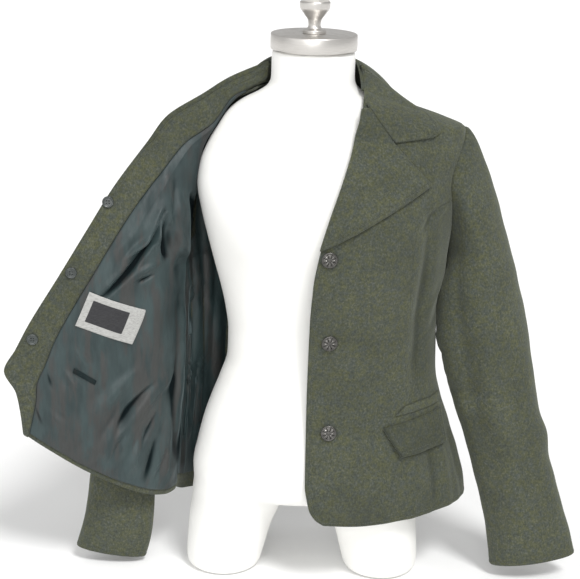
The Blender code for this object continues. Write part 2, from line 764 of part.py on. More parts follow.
def make_left_buttons():
    """Metal buttons on the closed front."""
    for number, place in enumerate(LEFT_BUTTONS, 1):
        turn, height = front_place(place.x, place.height)
        normal = outward(left_body, 1, turn, height)
        base = left_body(turn, height) + normal * (CLOTH / 2 + LAY)
        turned_piece(f"button_left_{number}", METAL_BUTTON, ANTIQUE, base, normal, 14)


# ---------------------------------------------------------------- the opened front
def share_gap(row, gap=SEAM):
    """Half a gap as a share of the opened front's width."""
    return gap / 2 / open_width(row)


def open_cells(rows, columns, low, high, gap=SEAM):
    """Places of the opened front between two shares that may change with the row."""
    cells = []
    for row in rows:
        start = low(row) + share_gap(row, gap)
        end = high(row) - share_gap(row, gap)
        cells.append([(share, row) for share in spread(start, end, columns)])
    return cells


def ridge_rise(x, z):
    """Height of the lining's folds at a place."""
    rise = 0.0
    for fold in RIDGES:
        along = Vector((fold.to_x - fold.x, fold.to_z - fold.z))
        place = Vector((x - fold.x, z - fold.z))
        share = min(max(place.dot(along) / along.length_squared, 0.0), 1.0)
        away = (place - along * share).length / fold.width
        rise = max(rise, fold.rise * math.exp(-away * away))
    return rise


def lining_point(share, row):
    """Point of the lining on the opened front, with its folds."""
    point = open_point(share, row)
    normal = outward(open_point, 1, share, row)
    fade = min(1.0, 8 * share, 8 * (facing_share(row) - share))
    lift = CLOTH / 2 + 2 * LAY + SATIN / 2 + ridge_rise(point.x, point.z) * max(fade, 0.0)
    return point + normal * lift


def make_open_front():
    """Shell, facing, collar end and lining of the opened front."""
    half = CLOTH / 2
    inner = open_cells(OPEN_ROWS, 7, lambda row: 0.005, lambda row: OPEN_PRINCESS)
    outer = open_cells(OPEN_ROWS, 7, lambda row: OPEN_PRINCESS, lambda row: 1.0)
    panel("side_front_right", open_point, 1, inner, -half, half, LODEN)
    panel("front_right", open_point, 1, outer, -half, half, LODEN)
    low = half + 1.5 * LAY
    rows = [row for row in OPEN_ROWS if row <= NOTCH_ROW]
    lower = open_cells(rows, 4, facing_share, lambda row: 1.0)
    upper = open_cells((NOTCH_ROW + 0.006, 0.96, 1.0), 4, facing_share, lambda row: 1.0)
    panel("facing_right", open_point, 1, lower, low, low + CLOTH, LODEN)
    panel("collar_right_end", open_point, 1, upper, low, low + CLOTH, LODEN)
    rows = sorted(OPEN_ROWS[1:-1] + tuple(row + 0.025 for row in OPEN_ROWS[:14]))
    lining = open_cells(rows, 12, lambda row: 0.0, facing_share, 7 * SEAM)
    panel("lining_front_right", lining_point, 1, lining, -SATIN / 2, SATIN / 2, LINING)


def open_place(x, height):
    """Share and row of the opened front's point at a place seen from the front."""
    share = 0.6
    row = 0.4
    for _ in range(12):
        here = open_point(share, row)
        by_share = (open_point(share + STEP, row) - here) / STEP
        by_row = (open_point(share, row + STEP) - here) / STEP
        off_x = x - here.x
        off_z = height - here.z
        scale = by_share.x * by_row.z - by_share.z * by_row.x
        share += (off_x * by_row.z - off_z * by_row.x) / scale
        row += (off_z * by_share.x - off_x * by_share.z) / scale
    return share, row


def corner_cells(corners, rows, columns):
    """Places of the opened front between four corners."""
    places = [Vector(open_place(corner.x, corner.height)) for corner in corners]
    upper_left, upper_right, lower_right, lower_left = places
    cells = []
    for down in spread(0.0, 1.0, rows):
        start = upper_left.lerp(lower_left, down)
        end = upper_right.lerp(lower_right, down)
        cells.append([tuple(start.lerp(end, along)) for along in spread(0.0, 1.0, columns)])
    return cells


def make_open_front_details():
    """Label, inner welt, buttons and the pocket on the outside of the opened front."""
    lining = CLOTH / 2 + 2 * LAY + SATIN
    label = corner_cells(LABEL, 4, 5)
    low = lining + 1.5 * LAY
    panel("label", open_point, 1, label, low, low + LABEL_CLOTH, SATIN_LABEL)
    welt = corner_cells(INNER_WELT, 2, 4)
    panel("inner_welt", open_point, 1, welt, low, low + SATIN, LINING)
    low = CLOTH / 2 + 2 * LAY
    for name, (start, end, bottom, top) in (("flap", RIGHT_FLAP), ("welt", RIGHT_WELT)):
        cells = [[(share, row) for share in spread(start, end, 9)]
                 for row in spread(bottom, top, 4)]
        panel(f"{name}_right", open_point, -1, cells, low, low + DOUBLED, LODEN)
    for number, place in enumerate(RIGHT_BUTTONS, 1):
        share, row = open_place(place.x, place.height)
        front = outward(open_point, 1, share, row)
        point = open_point(share, row)
        base = point + front * (CLOTH * 1.5 + 2 * LAY)
        turned_piece(f"backing_button_{number}", BACKING_BUTTON, HORN, base, front, 12)
        share -= EDGE_INSET / open_width(row)
        point = open_point(share, row)
        front = outward(open_point, 1, share, row)
        base = point - front * (CLOTH / 2 + LAY)
        turned_piece(f"button_right_{number}", METAL_BUTTON, ANTIQUE, base, -front, 14)


def make_fold_back():
    """The opened front's cloth between its fold and the shoulder seam."""
    cells = [[(up, along) for along in spread(0.0, 1.0, 7)] for up in spread(0.0, 1.0, 4)]
    half = CLOTH / 2
    panel("front_right_shoulder", fold_back_point, 1, cells, -half, half, LODEN)


def fold_back_point(up, along):
    """Point between the fold of the opened front and the shoulder seam."""
    row = FOLD_ROW + (FOLD_END_ROW - FOLD_ROW) * along
    fold = open_point(0.0, row) + outward(open_point, -1, 0.0, row) * (CLOTH + 6 * SEAM)
    seam = right_body(90, SHOULDER_TIP + (FOLD_END_HEIGHT - SHOULDER_TIP) * along)
    seam.y -= CLOTH
    point = fold.lerp(seam, up)
    point.y -= 0.004 * 4 * up * (1 - up)
    return point


def make_back_lining():
    """Lining of the opened half's back, from above the hem to under the shoulder."""
    cells = back_cells(right_body, 9)[2:-4]
    low = -(CLOTH / 2 + LAY + SATIN)
    panel("lining_back_right", right_body, -1, cells, low, low + SATIN, LINING)


# ---------------------------------------------------------------- sleeves
RING_POINTS = 16        # points round an armhole


def armhole_height(angle):
    """Height of the armhole's edge: angle 0 is the underarm, 180 degrees the shoulder tip."""
    return (UNDERARM + SHOULDER_TIP) / 2 - (SHOULDER_TIP - UNDERARM) / 2 * math.cos(angle)


def sewn_on(body, side, turn, angle):
    """Place of a sleeve's end on a panel: beside it under the arm, butted on it above."""
    height = armhole_height(angle)
    lift = CLOTH / 2 * (1 + (1 + math.cos(angle)) / 2) + 3 * SEAM
    return body(turn, height) + outward(body, side, turn, height) * lift


def left_armhole(angle):
    """Start of the left sleeve. The angle goes round by the front."""
    edge = front_armhole if math.sin(angle) > 0 else back_armhole
    return sewn_on(left_body, 1, edge(armhole_height(angle)), angle)


def right_armhole(angle):
    """Start of the right sleeve: on the back, and behind the opened front's fold."""
    if math.sin(angle) <= 1e-6:
        return sewn_on(right_body, -1, back_armhole(armhole_height(angle)), angle)
    height = armhole_height(angle)
    corner = open_point(0.0, FOLD_ROW)
    if height < corner.z:
        edge = open_point(0.0, row_at_height(height))
    else:
        edge = fold_back_point((height - corner.z) / (SHOULDER_TIP - corner.z), 0.0)
    away = min(1.0, 2 * math.sin(angle))
    beside = Vector((-(CLOTH + SEAM), 0, 0))
    behind = Vector((-CLOTH / 2, CLOTH / 2 + 2 * SEAM, 0))
    return edge + beside.lerp(behind, away)


def ring_point(rows, side, angle, row):
    """Point of a sleeve's ring below the armhole."""
    values = {name: sample(rows, name, row) for name in Ring._fields[1:]}
    inwards = side * math.cos(angle)
    tuck = side * values["tuck"] * max(math.sin(2 * angle), 0.0) if math.sin(angle) > 0 else 0.0
    return Vector((
        values["x"] - values["half_width"] * inwards - tuck,
        values["y"] - values["half_depth"] * math.sin(angle),
        values["z"] - values["lift"] * math.cos(angle),
    ))


def sleeve_surface(rows, armhole, side, forward):
    """Surface of a sleeve: the angle round it, and 0 at the armhole to 1 at the cuff."""
    first = rows[0].row

    def point(angle, row):
        if row >= first:
            return ring_point(rows, side, angle, row)
        start = armhole(angle)
        crown = (1 - math.cos(angle)) / 2
        spill = -math.sin(angle) * (forward if math.sin(angle) > 0 else 0.022)
        leave = Vector((side * (0.012 + 0.054 * crown), spill, -0.040 + 0.025 * crown))
        end = ring_point(rows, side, angle, first)
        after = ring_point(rows, side, angle, first + STEP)
        arrive = (after - end) / STEP * first
        t = row / first
        return (start * (2 * t ** 3 - 3 * t ** 2 + 1) + leave * (t ** 3 - 2 * t ** 2 + t)
                + end * (3 * t ** 2 - 2 * t ** 3) + arrive * (t ** 3 - t ** 2))

    return point


def make_sleeve(word, rows, armhole, side, forward):
    """Upper and under sleeve, parted at a front and a back seam."""
    surface = sleeve_surface(rows, armhole, side, forward)
    tops = [0.0, 0.03, 0.07, 0.12, 0.17, 0.22]
    lower = spread(0.22, 1.0, 9)[1:]
    unit = 2 * math.pi / RING_POINTS
    gap = SEAM / 2 / 0.05
    half = CLOTH / 2
    for name, start, end in (("upper", 2, 14), ("under", -2, 2)):
        angles = [unit * i for i in range(start, end + 1)]
        angles[0] += gap
        angles[-1] -= gap
        cells = [[(angle, row) for angle in angles] for row in tops + lower]
        panel(f"sleeve_{word}_{name}", surface, side, cells, -half, half, LODEN)


# ---------------------------------------------------------------- collar
def collar_row(along):
    """Table row, side and body of a place along the collar: 1 in front, 0 at the back."""
    if along >= 0:
        return 1 - along, 1, left_body
    return 1 + along, -1, right_body


def roll_point(row, side, inside=0.0):
    """Point of the collar's roll, moved inside towards the neck."""
    turn = math.radians(sample(COLLAR, "roll_turn", row))
    radius = sample(COLLAR, "roll_radius", row) - inside
    height = sample(COLLAR, "roll_z", row)
    return Vector((side * radius * math.sin(turn), radius * math.cos(turn), height))


def fall_point(down, along):
    """Point of the collar's fall: down is 0 at the roll and 1 at the outer edge."""
    row, side, body = collar_row(along)
    lift = CLOTH / 2 + LAY + DOUBLED / 2
    turn = sample(COLLAR, "turn", row)
    height = sample(COLLAR, "height", row)
    edge = body(turn, height) + outward(body, side, turn, height) * lift
    point = roll_point(row, side).lerp(edge, down)
    bend = down / NOTCH_SHARE if down < NOTCH_SHARE else (1 - down) / (1 - NOTCH_SHARE)
    point.z -= sample(COLLAR, "dip", row) * bend
    away = Vector((point.x, point.y, 0)).normalized() + Vector((0, 0, 1))
    point += away * sample(COLLAR, "bulge", row) * 4 * down * (1 - down)
    return laid_on_front(point, lift) if side > 0 else point


def laid_on_front(point, lift):
    """Bring a point forwards until it lies on the closed front with the given lift."""
    if point.y > 0:
        return point
    turn, height = place_under(point.x, point.z, lift + 2 * LAY)
    lifted = left_body(turn, height) + outward(left_body, 1, turn, height) * (lift + 2 * LAY)
    return Vector((point.x, min(point.y, lifted.y), point.z))


def stand_point(up, along):
    """Point of the collar's stand, between the neckline and the roll."""
    row, side, body = collar_row(along)
    inside = DOUBLED / 2 + 2 * SEAM + CLOTH / 2 + 0.0028 * max(0.0, 1 - row / 0.5)
    roll = roll_point(row, side, inside)
    turn = math.degrees(math.atan2(roll.x * side, roll.y))
    seam = body(turn, NECK_POINT) + outward(body, side, turn, NECK_POINT) * (CLOTH + SEAM)
    return seam.lerp(roll, up)


def make_collar():
    """The collar's fall and its stand."""
    rows = spread(1.0, -(1 - COLLAR_RIGHT_END), 25)
    shares = (0.0, 0.14, 0.28, NOTCH_SHARE, 0.62, 0.81, 1.0)
    cells = [[(down, along) for down in shares] for along in rows]
    panel("collar", fall_point, 1, cells, -DOUBLED / 2, DOUBLED / 2, LODEN)
    rows = spread(1 - STAND_FRONT_END, -(1 - COLLAR_RIGHT_END), 23)
    cells = [[(up, along) for up in (0.0, 0.5, 1.0)] for along in rows]
    panel("collar_stand", stand_point, 1, cells, -CLOTH / 2, CLOTH / 2, LODEN)


def clear_scene():
    """Start from an empty scene."""
    for old in list(bpy.data.objects):
        bpy.data.objects.remove(old, do_unlink=True)


def centre_on_origin():
    """Move the pieces so that the bottom centre of their bounding box is at the origin."""
    bpy.context.view_layer.update()
    pieces = [piece for piece in bpy.data.objects if not piece.hide_render]
    corners = [Vector(corner) for piece in pieces for corner in piece.bound_box]
    middle = Vector([(min(values) + max(values)) / 2 for values in zip(*corners)])
    middle.z = min(corner.z for corner in corners)
    for mesh in bpy.data.meshes:
        mesh.transform(Matrix.Translation(-middle))


def main():
    """Build the jacket and its form."""
    clear_scene()
    make_form()
    make_neck_plate()
    make_body()
    make_lapel()
    make_pocket()
    make_left_buttons()
    make_open_front()
    make_open_front_details()
    make_fold_back()
    make_back_lining()
    make_sleeve("left", LEFT_SLEEVE, left_armhole, 1, 0.022)
    make_sleeve("right", RIGHT_SLEEVE, right_armhole, -1, -0.010)
    make_collar()
    centre_on_origin()


main()
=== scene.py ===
"""A tyrolean loden jacket, half open, on a limbless dress form.

Each cloth piece is a thin shell on the same surface as its solid in the frame, with the
creases, pressed edges and stitching of the real piece. Sizes are in metres, measured from a
point on the floor under the neck of the form, and moved into the frame at the end.
"""
import logging
import math
from collections.abc import Callable, Iterable, Sequence
from dataclasses import dataclass, field
from enum import Enum
from typing import NamedTuple

import bmesh
import bpy
import numpy as np
from mathutils import Matrix, Vector


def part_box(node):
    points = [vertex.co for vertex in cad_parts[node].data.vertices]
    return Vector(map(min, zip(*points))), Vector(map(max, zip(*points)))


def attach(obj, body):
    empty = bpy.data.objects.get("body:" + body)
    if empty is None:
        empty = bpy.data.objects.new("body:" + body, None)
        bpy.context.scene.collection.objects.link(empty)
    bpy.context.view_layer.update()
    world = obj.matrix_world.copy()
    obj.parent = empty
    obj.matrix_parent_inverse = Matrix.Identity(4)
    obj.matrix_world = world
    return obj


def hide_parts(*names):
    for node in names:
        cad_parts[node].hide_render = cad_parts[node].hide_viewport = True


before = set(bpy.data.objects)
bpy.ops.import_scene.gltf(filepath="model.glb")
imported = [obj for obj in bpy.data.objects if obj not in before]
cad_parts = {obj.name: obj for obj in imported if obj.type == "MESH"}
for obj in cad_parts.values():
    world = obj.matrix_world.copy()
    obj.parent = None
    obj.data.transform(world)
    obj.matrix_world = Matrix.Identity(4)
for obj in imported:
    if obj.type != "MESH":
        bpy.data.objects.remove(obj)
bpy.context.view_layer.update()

LOG = logging.getLogger("jacket")
BODY = "root"
Array = np.ndarray
Reals = np.ndarray | float
Triple = tuple[float, float, float]
Socket = bpy.types.NodeSocket
Line = Callable[[Array], Array]                             # a coordinate at each row
Spread = Callable[[Array, Array], Array]                    # a value at each place
Placing = Callable[[Array, Array], tuple[Array, Array]]     # a place at each place

# ---- driving sizes
CLOTH = .0025           # loden wall
SATIN = .001            # lining wall
LABEL_CLOTH = .0008
DOUBLED = .0042         # two layers of loden
LAY = .0006             # gap under a piece that lies on a panel
SEAM = .0003            # gap between pieces at a seam
EDGE_INSET = .004       # how much further in the outer buttons sit than their backings
HEM = .11
HEM_FADE = .075         # height over which the line of the hem fades out
UNDERARM = .455
SHOULDER_TIP = .659
NECK_POINT = .708
NECK_TOP = .7635
PLATE_RADIUS = .0595
PLATE_HEIGHT = .022
PRINCESS_TOP = .566
BACK_SCOOP = 34.0       # degrees that the armhole cuts into the back
FRONT_SCOOP = 22.0
START_TURN = .25        # small: the opened front starts forwards, then turns sideways
FORWARD_POWER = 1.4
FOLD_ROW = .77          # row of the opened front where its fold leaves the armhole
FOLD_END_ROW = .92
FOLD_END_HEIGHT = .69
NOTCH_ROW = .92         # row of the opened front where the collar meets the lapel
OPEN_PRINCESS = .34
NOTCH_SHARE = .43       # share of the collar's depth that is sewn to the lapel
COLLAR_RIGHT_END = .52
STAND_FRONT_END = .12
STEP = .0005


# ---- tables of sizes
def table(kind: type, *rows: Sequence[float]) -> tuple:
    """Rows of a table whose columns a kind of row names."""
    return tuple(kind(*row) for row in rows)


class BodyRow(NamedTuple):
    """Section of a body half: half width, depth behind and in front, and middle."""

    height: float
    half_width: float
    back: float
    front: float
    middle: float


class HemRow(NamedTuple):
    """Rise of the hem above its height at the front edge, at a turn round the body."""

    turn: float
    left: float
    right: float


class EdgeRow(NamedTuple):
    """Distance of a line from the centre at a height."""

    height: float
    x: float


class OpenRow(NamedTuple):
    """Row of the opened front: inner and outer edge, width of the facing, sag of the hem."""

    row: float
    in_x: float
    in_y: float
    in_z: float
    out_x: float
    out_y: float
    out_z: float
    facing: float
    sag: float


class RingRow(NamedTuple):
    """Ring of a sleeve: centre, half width and depth, lift of its outer side, front tuck."""

    row: float
    x: float
    y: float
    z: float
    half_width: float
    half_depth: float
    lift: float
    tuck: float


class FallRow(NamedTuple):
    """Place along the collar: its roll, and its outer edge on the body."""

    row: float
    roll_turn: float
    roll_radius: float
    roll_z: float
    turn: float
    height: float
    dip: float
    bulge: float


class TorsoRow(NamedTuple):
    """Section of the dress form's torso."""

    height: float
    half_width: float
    front: float
    back: float


class ThighRow(NamedTuple):
    """Section of one thigh end."""

    height: float
    middle: float
    half_width: float
    half_depth: float


class TurnedRow(NamedTuple):
    """Radius of a turned piece at a height."""

    height: float
    radius: float


class Corner(NamedTuple):
    """Corner of a small piece, seen from the front; the upper left one comes first."""

    x: float
    height: float


LEFT_BODY = table(BodyRow,
    (.11, .242, .118, .13, .02), (.15, .235, .114, .127, .018), (.19, .2235, .108, .122, .016),
    (.225, .211, .101, .117, .014), (.265, .198, .094, .113, .012), (.3, .1895, .089, .112, .01),
    (.345, .1855, .087, .115, .01), (.4, .1855, .091, .125, .01), (.43, .1885, .094, .13, .01),
    (.455, .1935, .097, .135, .01), (.52, .201, .101, .137, .01), (.58, .208, .099, .121, .01),
    (.625, .2145, .09, .098, .01), (.659, .213, .079, .078, .01), (.672, .186, .076, .08, .01),
    (.688, .1375, .072, .077, .008), (.699, .105, .069, .072, .005),
    (.708, .085, .067, .068, .002),
)
RIGHT_BODY = table(BodyRow,
    (.11, .186, .118, .06, .02), (.15, .184, .114, .06, .018), (.19, .181, .108, .06, .016),
    (.225, .179, .101, .06, .014), (.265, .177, .094, .06, .012), (.3, .176, .089, .06, .01),
    (.345, .176, .087, .06, .01), (.4, .176, .091, .06, .01), (.455, .178, .097, .06, .01),
    (.52, .186, .101, .06, .01), (.58, .195, .099, .06, .01), (.625, .202, .09, .06, .01),
    (.659, .199, .079, .06, .01), (.672, .162, .076, .08, .01), (.688, .121, .072, .077, .008),
    (.699, .094, .069, .072, .005), (.708, .076, .067, .068, .003),
)
HEM_LINE = table(HemRow,
    (0, -.012, -.012), (50, -.005, -.027), (70, .002, -.02), (90, .008, -.004), (122, .005, -.004),
    (142, -.001, -.004), (160, -.005, -.004), (180, -.001, -.004),
)
FRONT_EDGE = table(EdgeRow,
    (.11, .032), (.117, .021), (.13, .012), (.147, .008), (.165, .005), (.3, .004), (.4, .005),
    (.459, .008), (.498, .014), (.551, .028), (.6, .045), (.636, .056), (.662, .062), (.682, .067),
    (.708, .07),
)
PRINCESS = table(EdgeRow,
    (.11, .165), (.194, .162), (.297, .149), (.373, .144), (.434, .14), (.485, .141), (.522, .143),
    (.548, .15), (.558, .166), (.566, .2),
)
LAPEL_EDGE = table(EdgeRow,
    (.5125, .033), (.551, .088), (.593, .163), (.612, .146), (.636, .123), (.6485, .1111),
    (.6742, .092), (.694, .0772),
)
OPEN_FRONT = table(OpenRow,
    (0, -.186, .02, .106, -.3927, -.08, .223, .008, .006),
    (.05, -.1845, .019, .138, -.3955, -.082, .253, .018, .006),
    (.1, -.1825, .018, .168, -.4015, -.084, .286, .032, .005),
    (.15, -.1805, .016, .2, -.4175, -.085, .317, .052, .003),
    (.2, -.179, .014, .232, -.402, -.084, .347, .048, .002),
    (.29, -.176, .01, .294, -.383, -.082, .384, .044, .001),
    (.41, -.176, .01, .365, -.341, -.078, .454, .042, 0),
    (.54, -.178, .01, .455, -.302, -.07, .52, .043, 0),
    (.63, -.166, .006, .515, -.267, -.06, .578, .044, 0),
    (.73, -.163, .006, .57, -.223, -.042, .638, .045, 0),
    (.8, -.158, .002, .612, -.199, -.026, .67, .046, 0),
    (.87, -.139, -.004, .655, -.15, -.014, .701, .043, 0),
    (.94, -.105, -.001, .6975, -.113, -.006, .724, .024, 0),
    (1, -.0655, .018, .7165, -.0625, .014, .744, .023, 0),
)
LEFT_SLEEVE = table(RingRow,
    (.22, .2455, .01, .432, .0505, .05, .02, .01),
    (.36, .2563, .006, .361, .0597, .047, .016, .004),
    (.5, .2726, .002, .285, .0581, .043, .014, 0), (.63, .2922, -.004, .216, .0544, .04, .012, 0),
    (.76, .3118, -.01, .148, .0543, .037, .011, 0), (.91, .3335, -.018, .07, .0575, .03, .01, 0),
    (1, .3418, -.022, .029, .0608, .024, .0105, 0),
)
RIGHT_SLEEVE = table(RingRow,
    (.22, -.236, .034, .43, .051, .046, .012, 0), (.36, -.242, .03, .361, .053, .043, .01, 0),
    (.5, -.247, .024, .285, .053, .04, .009, 0), (.63, -.253, .016, .216, .05, .037, .008, 0),
    (.76, -.259, .006, .148, .046, .032, .008, 0), (.91, -.2655, -.003, .07, .0485, .024, .009, 0),
    (1, -.2775, -.005, .015, .05, .017, .007, 0),
)
COLLAR = table(FallRow,
    (0, 122.5, .0865, .701, 129.5, .654, .031, 0), (.12, 115.3, .0796, .714, 119, .67, .013, .001),
    (.24, 102.9, .0718, .73, 107, .683, .004, .002), (.38, 86.5, .065, .745, 90, .695, 0, .0025),
    (.55, 62.6, .0631, .747, 62, .694, 0, .005), (.73, 39.9, .0631, .749, 38, .69, 0, .007),
    (1, 0, .0631, .75, 0, .687, 0, .008),
)
TORSO = table(TorsoRow,
    (.115, .1, .05, .055), (.12, .13, .07, .08), (.128, .15, .086, .099), (.142, .1575, .097, .11),
    (.162, .158, .101, .115), (.194, .152, .1, .111), (.229, .144, .095, .103),
    (.26, .134, .089, .092), (.295, .121, .082, .08), (.329, .111, .078, .073),
    (.362, .1105, .078, .073), (.397, .115, .082, .077), (.43, .1225, .087, .081),
    (.462, .1315, .093, .085), (.505, .143, .098, .088), (.537, .151, .097, .09),
    (.577, .1575, .09, .09), (.604, .154, .082, .088), (.635, .142, .07, .08),
    (.656, .13, .062, .072), (.674, .119, .058, .064), (.687, .106, .0575, .06),
    (.696, .092, .057, .0575), (.706, .072, .057, .057), (.716, .06, .0572, .0572),
    (.724, .0575, .0575, .0575), (.7635, .0575, .0575, .0575),
)
THIGH = table(ThighRow,
    (0, .1115, .045, .048), (.0035, .1115, .051, .0545), (.011, .111, .0545, .0585),
    (.04, .107, .058, .063), (.07, .102, .061, .068), (.088, .0975, .064, .072),
    (.11, .092, .0665, .08), (.13, .09, .0675, .083), (.152, .086, .066, .084),
)
FINIAL = table(TurnedRow,
    (0, .016), (.0045, .016), (.0065, .01), (.011, .0085), (.018, .0095), (.026, .015),
    (.035, .0205), (.042, .021), (.044, .019), (.046, .0198), (.053, .0185), (.06, .012),
    (.063, .004),
)
LABEL = table(Corner, (-.299, .4345), (-.226, .4065), (-.243, .3575), (-.319, .3865))
INNER_WELT = table(Corner, (-.3206, .325), (-.2906, .3065), (-.293, .3), (-.323, .318))
LAPEL_HEIGHTS = (.5125, .694)
FLAP = table(Corner, (.112, .246), (.192, .258), (.197, .212), (.137, .204))
WELT = table(Corner, (.142, .2755), (.191, .28), (.191, .2675), (.127, .262))
LEFT_BUTTONS = table(EdgeRow, (.5, .028), (.378, .032), (.244, .035))
RIGHT_BUTTONS = table(EdgeRow, (.557, -.2751), (.46, -.324), (.3647, -.3777))
RIGHT_FLAP = (.26, .6, .15, .21)            # shares and rows on the opened front
RIGHT_WELT = (.27, .56, .23, .252)


# ---- small maths
class Curve:
    """Smooth curve through one column of a table, which never overshoots its rows."""

    def __init__(self, rows: Sequence[NamedTuple], column: str) -> None:
        """Take the keys from the rows' first column.

        Args:
            rows: Table rows in rising order of their first column.
            column: Name of the column that the curve goes through.
        """
        self.keys = np.array([row[0] for row in rows])
        self.values = np.array([getattr(row, column) for row in rows])
        slopes = np.diff(self.values) / np.diff(self.keys)
        before = np.concatenate([slopes[:1], slopes])
        after = np.concatenate([slopes, slopes[-1:]])
        same_way = before * after > 0
        total = np.where(same_way, before + after, 1.0)
        self.tangents = np.where(same_way, 2 * before * after / total, 0.0)
        self.ends = (slopes[0], slopes[-1])

    def __call__(self, where: Reals) -> Array:
        """Value at a place; past the ends the curve goes straight on."""
        place = np.asarray(where, float)
        k = np.clip(np.searchsorted(self.keys, place, side="right") - 1, 0, len(self.keys) - 2)
        span = self.keys[k + 1] - self.keys[k]
        inside = np.clip(place, self.keys[0], self.keys[-1])
        t = (inside - self.keys[k]) / span
        rise = self.values[k + 1] - self.values[k]
        value = (self.values[k] + rise * t * t * (3 - 2 * t)
                 + span * self.tangents[k] * t * (1 - t) ** 2
                 - span * self.tangents[k + 1] * t * t * (1 - t))
        below = np.minimum(place - self.keys[0], 0.0) * self.ends[0]
        above = np.maximum(place - self.keys[-1], 0.0) * self.ends[1]
        return value + below + above


def columns(rows: Sequence[NamedTuple]) -> dict[str, Curve]:
    """Curves through every column of a table but its first, by name."""
    return {name: Curve(rows, name) for name in rows[0]._fields[1:]}


def paired(a: Reals, b: Reals) -> tuple[Array, Array]:
    """Two coordinates as arrays of the same shape."""
    return tuple(np.broadcast_arrays(np.asarray(a, float), np.asarray(b, float)))


def limited(values: Array) -> Array:
    """Values held between 0 and 1."""
    return np.clip(values, 0.0, 1.0)


def unit(vectors: Array) -> Array:
    """Vectors scaled to a length of one."""
    return vectors / np.maximum(np.linalg.norm(vectors, axis=-1, keepdims=True), 1e-12)


def points_of(x: Reals, y: Reals, z: Reals) -> Array:
    """Points from their coordinates, which may be arrays or single numbers."""
    return np.stack(np.broadcast_arrays(x, y, z), axis=-1).astype(float)


def mixed(one: Array, two: Array, share: Reals) -> Array:
    """Points between two sets of points, at a share of the way."""
    return one + (two - one) * np.asarray(share)[..., None]


def bell(distance: Array, width: float) -> Array:
    """Bell curve that is 1 at distance 0."""
    return np.exp(-(distance / width) ** 2)


# ---- creases
class Fold(NamedTuple):
    """Crease of the cloth from one place to another; a negative rise is a hollow."""

    u: float
    v: float
    to_u: float
    to_v: float
    width: float
    rise: float
    lean: float = 0.0


@dataclass(frozen=True)
class FoldField:
    """Creases placed on a surface.

    Attributes:
        folds: The creases.
        by_place: True where u and v are the x and height seen from the front, and False
            where they are the surface's own coordinates.
        u_scale: Metres to a unit of u.
        v_scale: Metres to a unit of v.
        ripple: Height of the cloth's slow unevenness.
    """

    folds: tuple[Fold, ...]
    by_place: bool = False
    u_scale: float = 1.0
    v_scale: float = 1.0
    ripple: float = .0006

    def rise(self, a: Array, b: Array, point: Array) -> Array:
        """Height of the creases at surface places whose points are given."""
        u = point[..., 0] if self.by_place else a * self.u_scale
        v = point[..., 2] if self.by_place else b * self.v_scale
        u_scale, v_scale = (1.0, 1.0) if self.by_place else (self.u_scale, self.v_scale)
        total = self.ripple * (np.sin(61 * point[..., 2] + 23 * point[..., 0] + 1.3)
                               * np.sin(37 * point[..., 0] + 29 * point[..., 1] + .4)
                               + .5 * np.sin(113 * point[..., 2] - 71 * point[..., 0] + 2.1))
        for fold in self.folds:
            along_u = (fold.to_u - fold.u) * u_scale
            along_v = (fold.to_v - fold.v) * v_scale
            length = math.hypot(along_u, along_v)
            from_u = u - fold.u * u_scale
            from_v = v - fold.v * v_scale
            along = (from_u * along_u + from_v * along_v) / length
            share = limited(along / length)
            past = along - share * length
            bow = fold.lean * length * 4 * share * (1 - share)
            across = (from_u * along_v - from_v * along_u) / length - bow
            swell = fold.width * (.75 + .5 * share)
            crest = np.exp(-(across / swell) ** 2)
            trough = np.exp(-((np.abs(across) - 2.0 * swell) / (1.1 * swell)) ** 2)
            taper = np.sin(math.pi * limited(.08 + .84 * share)) ** .8
            total = total + (fold.rise * (crest - .22 * trough) * taper
                             * np.exp(-(past / (1.5 * fold.width)) ** 2))
        return total


# ---- surfaces of the garment
class Surface:
    """Surface of a piece, worked out at two coordinates a and b.

    Attributes:
        side: 1 or -1, which turns the normal to the side that is the piece's outside.
        steps: Steps of the finite differences in a and b.
    """

    side: float = 1.0
    steps: tuple[float, float] = (STEP, STEP)

    def point(self, a: Reals, b: Reals) -> Array:
        """Point at two coordinates."""
        raise NotImplementedError

    def normal(self, a: Reals, b: Reals) -> Array:
        """Unit normal on the outside, at two coordinates."""
        step_a, step_b = self.steps
        along = self.point(a + step_a, b) - self.point(a - step_a, b)
        up = self.point(a, b + step_b) - self.point(a, b - step_b)
        return unit(np.cross(up, along)) * self.side

    def lifted(self, a: Reals, b: Reals, lift: Reals) -> Array:
        """Point at a lift above the surface."""
        return self.point(a, b) + self.normal(a, b) * np.asarray(lift)[..., None]


class BodyHalf(Surface):
    """Half of the jacket's body: a is the turn in degrees from the centre back, b the height."""

    steps = (.25, STEP)

    def __init__(self, rows: Sequence[BodyRow], hand: float) -> None:
        """Take the sections and the side of the body that they are for."""
        self.hand = self.side = hand
        self.width, self.back, self.front, self.middle = columns(rows).values()

    def point(self, a: Reals, b: Reals) -> Array:
        """Point at a turn and a height."""
        angle = np.radians(a)
        depth = np.where(np.asarray(a) < 90, self.back(b), self.front(b))
        x = self.hand * self.width(b) * np.sin(angle)
        return points_of(x, self.middle(b) + depth * np.cos(angle), b)

    def turn_at(self, x: Reals, height: Reals) -> Array:
        """Turn of the front's point at a distance from the centre."""
        share = limited(np.asarray(x) / self.width(height))
        return 180 - np.degrees(np.arcsin(share))

    def place_under(self, x: Array, height: Array, lift: float) -> tuple[Array, Array]:
        """Place above which, at a lift, a point of a layer lies when seen from the front."""
        low_x, low_height = np.array(x, float), np.array(height, float)
        for _ in range(4):
            turn = self.turn_at(np.maximum(low_x, 0.0), low_height)
            here = self.lifted(turn, low_height, lift)
            low_x += x - here[..., 0]
            low_height += height - here[..., 2]
        return self.turn_at(np.maximum(low_x, 0.0), low_height), low_height


